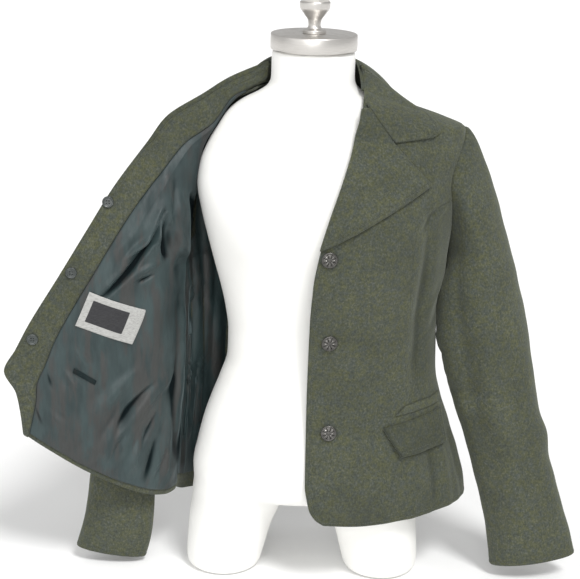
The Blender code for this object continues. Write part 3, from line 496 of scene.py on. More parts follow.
class Hung(Surface):
    """A surface with the creases of cloth that hangs on it."""

    def __init__(self, base: Surface, folds: FoldField,
                 fade: Spread | None = None) -> None:
        """Lay creases on a base surface, with a share of them that may fade out."""
        self.base = base
        self.folds = folds
        self.fade = fade
        self.side = base.side
        self.steps = tuple(2 * step for step in base.steps)

    def point(self, a: Reals, b: Reals) -> Array:
        """Point of the creased surface."""
        a, b = paired(a, b)
        point = self.base.point(a, b)
        rise = self.folds.rise(a, b, point)
        if self.fade is not None:
            rise = rise * self.fade(a, b)
        return point + self.base.normal(a, b) * rise[..., None]


LEFT = BodyHalf(LEFT_BODY, 1.0)
RIGHT = BodyHalf(RIGHT_BODY, -1.0)


def armhole_share(height: Reals) -> Array:
    """Share of the way up the armhole."""
    return limited((np.asarray(height) - UNDERARM) / (SHOULDER_TIP - UNDERARM))


def back_armhole(height: Reals) -> Array:
    """Turn of the back's armhole edge, or of the side seam below it."""
    share = 2 * armhole_share(height) - 1
    return 90 - BACK_SCOOP * np.sqrt(np.maximum(1 - share ** 2, 0.0))


def front_armhole(height: Reals) -> Array:
    """Turn of the closed front's armhole edge, or of the side seam below it."""
    return 90 + FRONT_SCOOP * np.sin(math.pi * armhole_share(height) ** 1.9)


class OpenFront(Surface):
    """The opened front: a is the share of its width from the fold, b its row."""

    def __init__(self, side: float = 1.0) -> None:
        """Face the viewer with side 1, which shows the facing, or away with -1."""
        self.side = side
        curves = list(columns(OPEN_FRONT).values())
        self.inner, self.outer, (self.facing, self.sag) = curves[:3], curves[3:6], curves[6:]

    def point(self, a: Reals, b: Reals) -> Array:
        """Point at a share and a row."""
        a, b = paired(a, b)
        inner = points_of(*[curve(b) for curve in self.inner])
        outer = points_of(*[curve(b) for curve in self.outer])
        sideways = a * (a + START_TURN) / (1 + START_TURN)
        forward = 1 - (1 - a) * np.abs(1 - a) ** FORWARD_POWER
        point = mixed(inner, outer, sideways)
        point[..., 1] = inner[..., 1] + (outer[..., 1] - inner[..., 1]) * forward
        point[..., 2] -= 4 * self.sag(b) * sideways * (1 - sideways)
        return point

    def width(self, row: Reals) -> Array:
        """Straight width of a row."""
        return np.linalg.norm(self.point(1.0, row) - self.point(0.0, row), axis=-1)

    def facing_share(self, row: Reals) -> Array:
        """Share at which the facing ends and the lining starts."""
        sideways = np.maximum(1 - self.facing(row) / self.width(row), .02)
        return (np.sqrt(START_TURN ** 2 + 4 * (1 + START_TURN) * sideways) - START_TURN) / 2

    def place(self, x: Reals, height: Reals) -> tuple[Array, Array]:
        """Share and row of the point at a place seen from the front."""
        x, height = np.broadcast_arrays(np.asarray(x, float), np.asarray(height, float))
        share, row = np.full(x.shape, .6), np.full(x.shape, .4)
        for _ in range(12):
            here = self.point(share, row)
            by_share = (self.point(share + STEP, row) - here) / STEP
            by_row = (self.point(share, row + STEP) - here) / STEP
            off_x, off_z = x - here[..., 0], height - here[..., 2]
            scale = by_share[..., 0] * by_row[..., 2] - by_share[..., 2] * by_row[..., 0]
            share = share + (off_x * by_row[..., 2] - off_z * by_row[..., 0]) / scale
            row = row + (off_z * by_share[..., 0] - off_x * by_share[..., 2]) / scale
        return share, row

    def row_at(self, height: Array) -> Array:
        """Row whose inner edge is at a height."""
        low, high = np.zeros_like(height), np.ones_like(height)
        for _ in range(30):
            middle = (low + high) / 2
            under = self.inner[2](middle) < height
            low, high = np.where(under, middle, low), np.where(under, high, middle)
        return (low + high) / 2


OPEN = OpenFront()
OPEN_OUTSIDE = OpenFront(-1.0)


class FoldBack(Surface):
    """Cloth between the opened front's fold and the shoulder seam."""

    def point(self, a: Reals, b: Reals) -> Array:
        """Point at a share from fold to seam and a share along the fold."""
        a, b = paired(a, b)
        row = FOLD_ROW + (FOLD_END_ROW - FOLD_ROW) * b
        fold = OPEN_OUTSIDE.lifted(0.0 * row, row, CLOTH + 6 * SEAM)
        seam = RIGHT.point(90.0, SHOULDER_TIP + (FOLD_END_HEIGHT - SHOULDER_TIP) * b)
        seam[..., 1] -= CLOTH
        point = mixed(fold, seam, a)
        point[..., 1] -= .004 * 4 * a * (1 - a)
        return point


FOLD_BACK = FoldBack()


def armhole_height(angle: Array) -> Array:
    """Height of the armhole's edge: angle 0 is the underarm, pi the shoulder tip."""
    return (UNDERARM + SHOULDER_TIP) / 2 - (SHOULDER_TIP - UNDERARM) / 2 * np.cos(angle)


def sewn_on(body: BodyHalf, turn: Array, angle: Array) -> Array:
    """Place of a sleeve's end on a panel: beside it under the arm, butted on it above."""
    lift = CLOTH / 2 * (1 + (1 + np.cos(angle)) / 2) + 3 * SEAM
    return body.lifted(turn, armhole_height(angle), lift)


def left_armhole(angle: Array) -> Array:
    """Start of the left sleeve; the angle goes round by the front."""
    height = armhole_height(angle)
    turn = np.where(np.sin(angle) > 0, front_armhole(height), back_armhole(height))
    return sewn_on(LEFT, turn, angle)


def right_armhole(angle: Array) -> Array:
    """Start of the right sleeve: on the back, and behind the opened front's fold."""
    height = armhole_height(angle)
    behind_back = sewn_on(RIGHT, back_armhole(height), angle)
    corner = OPEN.point(0.0, FOLD_ROW)[..., 2]
    low_edge = OPEN.point(0.0 * height, OPEN.row_at(height))
    high_edge = FOLD_BACK.point((height - corner) / (SHOULDER_TIP - corner), 0.0 * height)
    edge = np.where((height < corner)[..., None], low_edge, high_edge)
    away = np.minimum(1.0, 2 * np.maximum(np.sin(angle), 0.0))
    beside = np.array((-(CLOTH + SEAM), 0.0, 0.0))
    behind = np.array((-CLOTH / 2, CLOTH / 2 + 2 * SEAM, 0.0))
    edge = edge + beside + (behind - beside) * away[..., None]
    return np.where((np.sin(angle) <= 1e-6)[..., None], behind_back, edge)


class SleeveTube(Surface):
    """A sleeve: a is the angle round it from the underarm by the front, b goes to the cuff."""

    def __init__(self, rows: Sequence[RingRow], armhole: Line,
                 hand: float, forward: float) -> None:
        """Take the rings, the armhole's edge, the side and how far the cap spills forwards."""
        self.curves = columns(rows)
        self.armhole = armhole
        self.side = hand
        self.forward = forward
        self.first = rows[0].row

    def ring(self, a: Array, b: Reals) -> Array:
        """Point of a ring below the armhole."""
        at = {name: curve(b) for name, curve in self.curves.items()}
        inwards = self.side * np.cos(a)
        tucked = np.where(np.sin(a) > 0, np.maximum(np.sin(2 * a), 0.0), 0.0)
        return points_of(
            at["x"] - at["half_width"] * inwards - self.side * at["tuck"] * tucked,
            at["y"] - at["half_depth"] * np.sin(a),
            at["z"] - at["lift"] * np.cos(a),
        )

    def point(self, a: Reals, b: Reals) -> Array:
        """Point at an angle and a row."""
        a, b = paired(a, b)
        start = self.armhole(a)
        crown = (1 - np.cos(a)) / 2
        spill = -np.sin(a) * np.where(np.sin(a) > 0, self.forward, .022)
        leave = points_of(self.side * (.012 + .054 * crown), spill, -.04 + .025 * crown)
        end = self.ring(a, self.first)
        arrive = (self.ring(a, self.first + STEP) - end) / STEP * self.first
        t = np.minimum(b / self.first, 1.0)[..., None]
        cap = (start * (2 * t ** 3 - 3 * t ** 2 + 1) + leave * (t ** 3 - 2 * t ** 2 + t)
               + end * (3 * t ** 2 - 2 * t ** 3) + arrive * (t ** 3 - t ** 2))
        return np.where((b >= self.first)[..., None], self.ring(a, b), cap)


class CollarFall(Surface):
    """The collar's fall: a is 0 at the roll and 1 at the outer edge, b goes along it.

    Along the collar b is 1 at its left front end, 0 at the centre back, and negative on
    the right side.
    """

    def __init__(self) -> None:
        """Read the collar's table into curves."""
        self.curves = columns(COLLAR)

    def roll(self, row: Array, hand: Array, inside: Reals = 0.0) -> Array:
        """Point of the roll, moved inside towards the neck."""
        turn = np.radians(self.curves["roll_turn"](row))
        radius = self.curves["roll_radius"](row) - inside
        return points_of(hand * radius * np.sin(turn), radius * np.cos(turn),
                         self.curves["roll_z"](row))

    @staticmethod
    def on_body(turn: Array, height: Array, hand: Array, lift: Reals) -> Array:
        """Point above the left or the right body half."""
        left = LEFT.lifted(turn, height, lift)
        right = RIGHT.lifted(turn, height, lift)
        return np.where((hand > 0)[..., None], left, right)

    def point(self, a: Reals, b: Reals) -> Array:
        """Point at a share down and a place along."""
        a, b = paired(a, b)
        hand = np.where(b >= 0, 1.0, -1.0)
        row = 1 - np.abs(b)
        lift = CLOTH / 2 + LAY + DOUBLED / 2
        edge = self.on_body(self.curves["turn"](row), self.curves["height"](row), hand, lift)
        point = mixed(self.roll(row, hand), edge, a)
        bend = np.where(a < NOTCH_SHARE, a / NOTCH_SHARE, (1 - a) / (1 - NOTCH_SHARE))
        point[..., 2] -= self.curves["dip"](row) * bend
        flat = unit(points_of(point[..., 0], point[..., 1], 0.0))
        away = flat + np.array((0.0, 0.0, 1.0))
        point += away * (self.curves["bulge"](row) * 4 * a * (1 - a))[..., None]
        turn, height = LEFT.place_under(point[..., 0], point[..., 2], lift + 1.2 * LAY)
        laid = LEFT.lifted(turn, height, lift + 1.2 * LAY)[..., 1]
        on_front = (hand > 0) & (point[..., 1] <= 0)
        point[..., 1] = np.where(on_front, np.minimum(point[..., 1], laid), point[..., 1])
        return point


class CollarStand(CollarFall):
    """The collar's stand: a is 0 at the neckline and 1 under the roll, b as on the fall."""

    def point(self, a: Reals, b: Reals) -> Array:
        """Point at a share up and a place along."""
        a, b = paired(a, b)
        hand = np.where(b >= 0, 1.0, -1.0)
        row = 1 - np.abs(b)
        inside = DOUBLED / 2 + 2 * SEAM + CLOTH / 2 + .0028 * np.maximum(0.0, 1 - row / .5)
        roll = self.roll(row, hand, inside)
        turn = np.degrees(np.arctan2(roll[..., 0] * hand, roll[..., 1]))
        seam = self.on_body(turn, np.full_like(turn, NECK_POINT), hand, CLOTH + SEAM)
        return mixed(seam, roll, a)


# ---- finishes
class Nodes:
    """Nodes of one tree, added with their settings and inputs."""

    def __init__(self, tree: bpy.types.NodeTree) -> None:
        """Take the tree."""
        self.tree = tree

    def feed(self, socket: Socket, value: object) -> None:
        """Link a socket to another, or set its value."""
        if isinstance(value, Socket):
            self.tree.links.new(value, socket)
        elif isinstance(value, tuple) and len(value) == 3 and socket.type == "RGBA":
            socket.default_value = (*value, 1.0)
        else:
            socket.default_value = value

    def node(self, kind: str, inputs: dict[str | int, object] | None = None,
             **settings: object) -> bpy.types.Node:
        """Add a node, set its properties and feed its inputs."""
        made = self.tree.nodes.new(kind)
        for name, value in settings.items():
            setattr(made, name, value)
        for key, value in (inputs or {}).items():
            self.feed(made.inputs[key], value)
        return made


class Shader(Nodes):
    """Node tree of one finish, built round a Principled shader."""

    def __init__(self, name: str) -> None:
        """Start a material with its own node tree."""
        self.material = bpy.data.materials.new(name)
        self.material.use_nodes = True
        super().__init__(self.material.node_tree)
        self.surface = self.tree.nodes["Principled BSDF"]
        self.place = self.node("ShaderNodeTexCoord").outputs["Object"]

    def set(self, **values: object) -> None:
        """Set the surface's own sockets, named with underscores."""
        for name, value in values.items():
            self.feed(self.surface.inputs[name.replace("_", " ")], value)

    def stretched(self, x: float, y: float, z: float, turn: Triple = (0.0, 0.0, 0.0)) -> Socket:
        """Object coordinates scaled along each axis, after a turn."""
        return self.node("ShaderNodeMapping", {"Vector": self.place, "Rotation": turn,
                                               "Scale": (x, y, z)}).outputs["Vector"]

    def noise(self, scale: float, detail: float = 3.0, roughness: float = .55,
              where: Socket | None = None) -> Socket:
        """Noise value at a scale per metre."""
        inputs = {"Vector": where or self.place, "Scale": scale, "Detail": detail,
                  "Roughness": roughness}
        return self.node("ShaderNodeTexNoise", inputs).outputs["Fac"]

    def ramp(self, value: Socket, stops: Sequence[tuple[float, Triple]]) -> Socket:
        """Colour ramp through stops of place and colour."""
        made = self.node("ShaderNodeValToRGB", {"Fac": value})
        elements = made.color_ramp.elements
        while len(elements) < len(stops):
            elements.new(.5)
        for element, (place, color) in zip(elements, stops):
            element.position = place
            element.color = (*color, 1.0)
        return made.outputs["Color"]

    def between(self, value: Socket, low: float, high: float, to_low: float = 0.0,
                to_high: float = 1.0) -> Socket:
        """Value mapped from one range to another and held inside it."""
        inputs = {"Value": value, "From Min": low, "From Max": high, "To Min": to_low,
                  "To Max": to_high}
        return self.node("ShaderNodeMapRange", inputs,
                         interpolation_type="SMOOTHSTEP").outputs["Result"]

    def mix(self, share: object, one: object, two: object) -> Socket:
        """Mix of two colours."""
        return self.node("ShaderNodeMix", {0: share, 6: one, 7: two}, data_type="RGBA").outputs[2]

    def pressed(self, color: Socket, tint: Triple, depth: float) -> Socket:
        """Colour darkened to a depth where the cloth is pressed, and with painted shade."""
        share = self.node("ShaderNodeMath", {0: self.attribute("pressed"), 1: depth},
                          operation="MULTIPLY").outputs[0]
        return self.mix(share, color, tint)

    def attribute(self, name: str) -> Socket:
        """Value of a mesh attribute."""
        return self.node("ShaderNodeAttribute", attribute_name=name).outputs["Fac"]

    def bump(self, height: Socket, distance: float, under: Socket | None = None) -> Socket:
        """Normal with a relief of a height in metres, on top of another one."""
        inputs = {"Strength": 1.0, "Distance": distance, "Height": height}
        if under is not None:
            inputs["Normal"] = under
        return self.node("ShaderNodeBump", inputs).outputs["Normal"]


@dataclass(frozen=True)
class Loden:
    """Milled wool: a felted melange of olive, green and blue-grey fibres."""

    name: str = "loden"
    base: Triple = (.06, .066, .045)
    olive: Triple = (.072, .076, .039)
    slate: Triple = (.054, .062, .053)
    shade: Triple = (.018, .021, .016)
    fleck: Triple = (.15, .156, .132)

    def build(self) -> bpy.types.Material:
        """Make the material."""
        shader = Shader(self.name)
        melange = shader.noise(120.0, 5.0, .68)
        color = shader.ramp(melange, ((.38, self.slate), (.5, self.base), (.62, self.olive)))
        tuft = shader.noise(330.0, 3.0, .62)
        color = shader.mix(shader.between(tuft, .34, .52, .4, 0.0), color, self.shade)
        color = shader.mix(shader.between(tuft, .52, .7, 0.0, .3), color, self.fleck)
        fibre = shader.noise(620.0, 4.0, .7, shader.stretched(1.0, 1.0, .45, (.3, .2, .5)))
        color = shader.mix(shader.between(fibre, .28, .47, .55, 0.0), color, self.shade)
        color = shader.mix(shader.between(fibre, .56, .74, 0.0, .55), color, self.fleck)
        cloud = shader.between(shader.noise(17.0, 2.0), .3, .7, 0.0, .22)
        color = shader.mix(cloud, color, self.shade)
        # Painted shade in creases, hollows, under the arm, on the flap and near the hem, with the
        # darkening at pressed edges.
        color = shader.pressed(color, self.shade, .7)
        nap = shader.bump(shader.noise(420.0, 3.0, .6), .00035)
        nap = shader.bump(fibre, .00022, nap)
        shader.set(Base_Color=color, Roughness=.92, Specular_IOR_Level=.18,
                   Sheen_Weight=.22, Sheen_Roughness=.55, Normal=nap,
                   Sheen_Tint=(.62, .66, .56))
        return shader.material


@dataclass(frozen=True)
class Satin:
    """Lining satin: a fine smooth weave with a soft sheen along its warp."""

    name: str = "lining"
    base: Triple = (.017, .03, .031)
    light: Triple = (.03, .049, .05)
    warm: Triple = (.036, .036, .034)
    dark: Triple = (.003, .005, .006)

    def build(self) -> bpy.types.Material:
        """Make the material."""
        shader = Shader(self.name)
        slub = shader.noise(60.0, 4.0, .6, shader.stretched(5.0, 5.0, .6))
        cloud = shader.between(shader.noise(14.0, 3.0, .6, shader.stretched(2.4, 2.4, .8)),
                               .38, .64)
        color = shader.mix(cloud, self.base, self.light)
        shot = shader.noise(17.0, 4.0, .6, shader.stretched(3.0, 3.0, .5, (0.0, .25, 0.0)))
        color = shader.mix(shader.between(shot, .47, .6, 0.0, .85), color, self.warm)
        color = shader.mix(shader.between(slub, .4, .75, 0.0, .14), color, self.dark)
        # Painted shade in the creases and towards the neck, with the darkening at pressed and
        # turned edges.
        color = shader.pressed(color, self.dark, .92)
        warp = shader.noise(260.0, 2.0, .5, shader.stretched(10.0, 10.0, .25))
        weave = shader.bump(warp, .00006)
        weave = shader.bump(shader.noise(75.0, 3.0, .55, shader.stretched(1.6, 1.6, .5)),
                            .0006, weave)
        gloss = shader.between(slub, .3, .7, .42, .54)
        # Reflection and sheen fade out where the lining has painted shade.
        pressed = shader.attribute("pressed")
        shader.set(Base_Color=color, Roughness=gloss, Anisotropic=.35, Normal=weave,
                   Specular_IOR_Level=shader.between(pressed, .1, .9, .42, .02),
                   Sheen_Weight=shader.between(pressed, .1, .9, .15, 0.0),
                   Sheen_Roughness=.35, Sheen_Tint=(.55, .72, .75))
        return shader.material


@dataclass(frozen=True)
class FormCover:
    """Taut off-white jersey over the dress form."""

    name: str = "form_cover"
    color: Triple = (.86, .855, .83)
    shade: Triple = (.8, .79, .755)

    def build(self) -> bpy.types.Material:
        """Make the material."""
        shader = Shader(self.name)
        soil = shader.between(shader.noise(9.0, 3.0), .35, .75, 0.0, .5)
        color = shader.mix(soil, self.color, self.shade)
        wales = shader.node("ShaderNodeTexWave", {"Vector": shader.place, "Scale": 420.0,
                                                  "Distortion": 1.2, "Detail": 2.0},
                            bands_direction="X")
        knit = shader.bump(wales.outputs["Fac"], .00008)
        knit = shader.bump(shader.noise(600.0, 2.0), .00012, knit)
        shader.set(Base_Color=color, Roughness=.82, Specular_IOR_Level=.25,
                   Sheen_Weight=.08, Sheen_Roughness=.5, Normal=knit)
        return shader.material


@dataclass(frozen=True)
class Metal:
    """A metal with fine brushing or with tarnish in its hollows."""

    name: str
    color: Triple
    dark: Triple
    roughness: float
    brushed: bool = False

    def build(self) -> bpy.types.Material:
        """Make the material."""
        shader = Shader(self.name)
        if self.brushed:
            grain = shader.noise(220.0, 4.0, .6, shader.stretched(.35, .35, 14.0))
            color = shader.mix(shader.between(grain, .3, .7, 0.0, .35), self.color, self.dark)
            relief = shader.bump(grain, .00005)
            gloss = shader.between(grain, .3, .7, self.roughness, self.roughness + .12)
        else:
            grain = shader.noise(900.0, 3.0, .6)
            hollow = shader.attribute("hollow")
            color = shader.mix(hollow, self.color, self.dark)
            relief = shader.bump(grain, .00006)
            gloss = shader.between(hollow, 0.0, 1.0, self.roughness, self.roughness + .3)
        shader.set(Base_Color=color, Metallic=1.0, Roughness=gloss, Normal=relief)
        return shader.material


@dataclass(frozen=True)
class Polymer:
    """Moulded button plastic with a faint cloudy grain."""

    name: str
    color: Triple
    cloud: Triple
    roughness: float

    def build(self) -> bpy.types.Material:
        """Make the material."""
        shader = Shader(self.name)
        grain = shader.noise(300.0, 4.0, .6)
        color = shader.mix(shader.between(grain, .4, .7), self.color, self.cloud)
        shader.set(Base_Color=color, Roughness=self.roughness,
                   Normal=shader.bump(shader.noise(1500.0, 2.0), .00002))
        return shader.material


@dataclass(frozen=True)
class WovenLabel:
    """Label satin: a pale ground with a darker woven field, its edges from an attribute."""

    name: str = "label_satin"
    ground: Triple = (.4, .4, .385)
    field_color: Triple = (.02, .02, .022)

    def build(self) -> bpy.types.Material:
        """Make the material."""
        shader = Shader(self.name)
        slub = shader.noise(700.0, 3.0, .6, shader.stretched(.25, 1.0, 2.2))
        ground = shader.mix(shader.between(slub, .38, .66, 0.0, .7), self.ground,
                            (.22, .22, .21))
        woven = shader.mix(shader.between(slub, .38, .66, 0.0, .5), self.field_color,
                           (.05, .05, .053))
        inside = shader.between(shader.attribute("field"), .42, .58)
        color = shader.mix(inside, ground, woven)
        shader.set(Base_Color=color, Roughness=.6, Specular_IOR_Level=.3,
                   Normal=shader.bump(slub, .00008))
        return shader.material


@dataclass(frozen=True)
class Thread:
    """Sewing thread."""

    name: str
    color: Triple

    def build(self) -> bpy.types.Material:
        """Make the material."""
        shader = Shader(self.name)
        twist = shader.noise(2500.0, 2.0)
        color = shader.mix(shader.between(twist, .35, .65, 0.0, .4), self.color,
                           tuple(.5 * part for part in self.color))
        shader.set(Base_Color=color, Roughness=.6, Sheen_Weight=.2)
        return shader.material


# ---- cloth made of walls
STITCH_INSET = .006


class Edge(Enum):
    """How an edge of a cloth piece is finished."""

    SEAM = "sewn to a neighbour"
    FLAT = "sewn to a neighbour and pressed flat"
    TURNED = "turned under"
    STITCHED = "turned under and stitched near the edge"
    HIDDEN = "ends under another piece"

    @property
    def insets(self) -> tuple[float, ...]:
        """Distances from the edge at which the shell has rows."""
        return PRESSING[self].insets

    def relief(self, distance: Array) -> Array:
        """Height of the pressed edge at a distance from it."""
        return sum((height * bell(distance - place, width)
                    for height, place, width in PRESSING[self].relief), 0 * distance)

    def pressed(self, distance: Array) -> Array:
        """Share by which the iron, and painted shadow at a turned edge, darken the cloth near the
        edge.
        """
        return np.max([0 * distance, *(share * bell(distance - place, width) for
                                       share, place, width in PRESSING[self].darkened)], axis=0)


class Pressing(NamedTuple):
    """Rows of an edge, and its relief and darkening as bells of height, place and width."""

    insets: tuple[float, ...]
    relief: tuple[Triple, ...] = ()
    darkened: tuple[Triple, ...] = ()


PRESSING = {
    Edge.SEAM: Pressing((0.0, .0009, .0021, .0038, .0064),
                        ((-.0005, 0.0, .0017), (.0002, .005, .003)),
                        ((.5, 0.0, .0014),)),
    Edge.FLAT: Pressing((0.0, .0009, .0021, .0038, .0064), ((-.00015, 0.0, .0017),),
                        ((.12, 0.0, .003),)),
    # The darkening of a turned edge is painted shadow along it.
    Edge.TURNED: Pressing((0.0, .0011, .0026, .005), ((-.0005, 0.0, .0014),),
                          ((.35, 0.0, .0012),)),
    Edge.STITCHED: Pressing(
        (0.0, .001, .0022, .0036, .0048, STITCH_INSET, .0072, .0092),
        ((-.0005, 0.0, .0014), (.0002, .0032, .0018), (-.00035, STITCH_INSET, .0011)),
        ((.3, STITCH_INSET, .001), (.3, 0.0, .0012))),
    Edge.HIDDEN: Pressing((0.0, .003)),
}
Edges = tuple[Edge, Edge, Edge, Edge]


def arc(points: Array, axis: int) -> Array:
    """Length along a grid of points from its first one, along one axis."""
    steps = np.linalg.norm(np.diff(points, axis=axis), axis=-1)
    start = np.zeros_like(np.take(steps, [0], axis=axis))
    return np.concatenate([start, np.cumsum(steps, axis=axis)], axis=axis)


def inset_places(length: float, count: int, first: Edge, last: Edge, gap: float) -> Array:
    """Places along a length: close together near the edges, even between them.

    Args:
        length: Length to divide.
        count: How many places lie between the two edges' own rows.
        first: Finish of the edge at the start.
        last: Finish of the edge at the end.
        gap: Gap left at each end.

    Returns:
        Rising places from gap to length - gap.
    """
    free = length - 2 * gap
    room = min(1.0, .42 * free / first.insets[-1], .42 * free / last.insets[-1])
    start = np.array(first.insets) * room
    end = free - np.array(last.insets[::-1]) * room
    middle = np.linspace(start[-1], end[0], count + 2)[1:-1]
    return np.concatenate([start, middle, end]) + gap


def steady(value: float) -> Line:
    """The same coordinate at every row."""
    return lambda b: np.full_like(np.asarray(b, float), value)


@dataclass
class Layout:
    """Where a piece lies on a surface.

    Attributes:
        surface: Surface that the piece lies on.
        edges: Finish of the first, last, bottom and top edge.
        spacing: Distance between the shell's rows away from its edges.
        start: Coordinate a of its first edge, at each b.
        end: Coordinate a of its last edge, at each b.
        low: Coordinate b of its bottom edge.
        high: Coordinate b of its top edge.
        gap: Gap left at every edge.
        warp: Moves b by the place, as the line of the hem does.
    """

    surface: Surface
    edges: Edges
    spacing: float
    start: Line = steady(0.0)
    end: Line = steady(1.0)
    low: float = 0.0
    high: float = 1.0
    gap: float = SEAM / 2
    warp: Spread | None = None

    def grid(self) -> tuple[Array, Array]:
        """Coordinates a and b of the shell's points, in rows from the bottom to the top."""
        fine_b = np.linspace(self.low, self.high, 241)
        middle = (self.start(fine_b) + self.end(fine_b)) / 2
        along = arc(self.surface.point(middle, self.warped(middle, fine_b)), 0)
        count = max(int(along[-1] / self.spacing) - 3, 1)
        places = inset_places(along[-1], count, self.edges[2], self.edges[3], self.gap)
        rows = np.interp(places, along, fine_b)
        share = np.linspace(0.0, 1.0, 121)
        first, last = self.start(rows)[:, None], self.end(rows)[:, None]
        fine_a = first + (last - first) * share[None, :]
        lengths = arc(self.surface.point(fine_a, self.warped(fine_a, rows[:, None])), 1)
        count = max(int(lengths[:, -1].max() / self.spacing) - 3, 1)
        a = np.array([
            np.interp(inset_places(length[-1], count, *self.edges[:2], self.gap), length, row)
            for length, row in zip(lengths, fine_a)
        ])
        return a, self.warped(a, np.broadcast_to(rows[:, None], a.shape))

    def warped(self, a: Array, b: Array) -> Array:
        """Coordinate b after the warp."""
        return b if self.warp is None else self.warp(a, b)


@dataclass
class Shell:
    """Grid of a built cloth piece, kept for what lies on it.

    Attributes:
        piece: The object.
        outer: Points of its outer face, in rows.
        edges: Finish of its first, last, bottom and top edge.
    """

    piece: bpy.types.Object
    outer: Array
    edges: Edges

    def seam_line(self, edge: int) -> Array:
        """Points of the topstitching along an edge: 0 first, 1 last, 2 bottom, 3 top."""
        index = Edge.STITCHED.insets.index(STITCH_INSET)
        ends = [index if finish is Edge.STITCHED else 1 for finish in self.edges]
        rows = slice(ends[2], len(self.outer) - ends[3])
        columns = slice(ends[0], self.outer.shape[1] - ends[1])
        row = index if edge % 2 == 0 else -1 - index
        return self.outer[rows, row] if edge < 2 else self.outer[row, columns]


def linked(name: str, data: bpy.types.ID) -> bpy.types.Object:
    """New object of the scene round a mesh, a light or a camera."""
    made = bpy.data.objects.new(name, data)
    bpy.context.scene.collection.objects.link(made)
    return made


def settled(rough: bpy.types.Object) -> bpy.types.Mesh:
    """Plain mesh of an object and its modifiers; the object is removed."""
    graph = bpy.context.evaluated_depsgraph_get()
    made = bpy.data.meshes.new_from_object(rough.evaluated_get(graph))
    bpy.data.objects.remove(rough, do_unlink=True)
    return made


class Workshop:
    """Keeps the finishes and turns grids of points into finished pieces."""

    def __init__(self) -> None:
        """Make every finish once and find where the frame stands."""
        finishes = (
            Loden(), Satin(), FormCover(), WovenLabel(),
            Metal("brushed_metal", (.66, .64, .61), (.42, .4, .38), .32, brushed=True),
            Metal("antique_metal", (.25, .242, .228), (.009, .009, .008), .22),
            Polymer("dark_button", (.03, .036, .034), (.06, .068, .064), .3),
            Thread("loden_thread", (.045, .052, .036)),
        )
        self.materials = {finish.name: finish.build() for finish in finishes}
        low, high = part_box("neck_plate")
        self.offset = np.array(((low.x + high.x) / 2, (low.y + high.y) / 2, 0.0))

    def piece(self, name: str, points: Array, faces: Iterable[Sequence[int]], finish: str,
              replaces: Sequence[str] = (), attributes: dict[str, Array] | None = None,
              ) -> bpy.types.Object:
        """Make a finished piece from points and faces.

        Args:
            name: Name of the piece.
            points: Its points in the garment's own frame.
            faces: Its faces, as indices of points.
            finish: Name of the material, which is also its slot.
            replaces: Nodes of the frame that it stands for.
            attributes: Values for each point, by name.

        Returns:
            The piece, riding on the frame's body.
        """
        mesh = bpy.data.meshes.new(name)
        mesh.from_pydata((np.asarray(points) + self.offset).tolist(), [], list(faces))
        for key, values in (attributes or {}).items():
            layer = mesh.attributes.new(key, "FLOAT", "POINT")
            layer.data.foreach_set("value", np.asarray(values, np.float32).ravel())
        bm = bmesh.new()
        bm.from_mesh(mesh)
        bmesh.ops.recalc_face_normals(bm, faces=bm.faces)
        bm.to_mesh(mesh)
        bm.free()
        mesh.materials.append(self.materials[finish])
        mesh.shade_smooth()
        return self.placed(linked(name, mesh), replaces)

    def placed(self, made: bpy.types.Object,
               replaces: Sequence[str] = ()) -> bpy.types.Object:
        """Let a piece ride on the body, and stand for its nodes."""
        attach(made, BODY)
        if replaces:
            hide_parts(*replaces)
        LOG.info("%s: %d faces", made.name, len(made.data.polygons))
        return made

    def cloth(self, name: str, layout: Layout, low: float, high: float,
              rests_on: Sequence[str] = ("dress_form",), held: str = "hung",
              finish: str = "loden", wrap: float = 0.0, field_of: Spread | None = None,
              shade_of: Spread | None = None) -> Shell:
        """Make a cloth piece as a wall over its surface.

        Args:
            name: Name of the piece and of the node that it stands for.
            layout: Where it lies.
            low: Lift of its inner face above the surface.
            high: Lift of its outer face.
            rests_on: What it hangs from or lies on; not used.
            held: How the cloth is held; not used.
            finish: Name of the material.
            wrap: How far the inner face of the first edge reaches back round a roll.
            field_of: Share of a woven field at each place, for the label.
            shade_of: Share of shade in the creases, at the surface's coordinates.

        Returns:
            The built shell.
        """
        a, b = layout.grid()
        base = layout.surface.point(a, b)
        normal = layout.surface.normal(a, b)
        across, upwards = arc(base, 1), arc(base, 0)
        distances = (across, across[:, -1:] - across, upwards, upwards[-1:] - upwards)
        relief = sum(edge.relief(distance) for edge, distance in zip(layout.edges, distances))
        # Darkening by pressing near the edges, with painted shadow at turned edges and painted
        # shade from shade_of.
        pressed = limited(np.max([edge.pressed(distance) for edge, distance
                                  in zip(layout.edges, distances)], axis=0))
        if shade_of is not None:
            pressed = np.maximum(pressed, shade_of(a, b))
        outer = base + normal * (high + relief)[..., None]
        inner = base + normal * low
        inner[:, 0] -= normal[:, 0] * wrap
        rows, columns = a.shape
        faces, rim = wall_faces(rows, columns)
        swell = rim_points(outer, inner, rim)
        points = np.concatenate([outer.reshape(-1, 3), inner.reshape(-1, 3), swell])
        attributes = {"pressed": np.concatenate([pressed.ravel(), pressed.ravel(),
                                                 pressed.ravel()[rim]])}
        if field_of is not None:
            share = field_of(across / across[:, -1:], upwards / upwards[-1:])
            attributes["field"] = np.concatenate([share.ravel(), 0 * share.ravel(),
                                                  0 * share.ravel()[rim]])
        made = self.piece("cloth_" + name, points, faces, finish, (name,),
                          attributes=attributes)
        return Shell(made, outer, layout.edges)


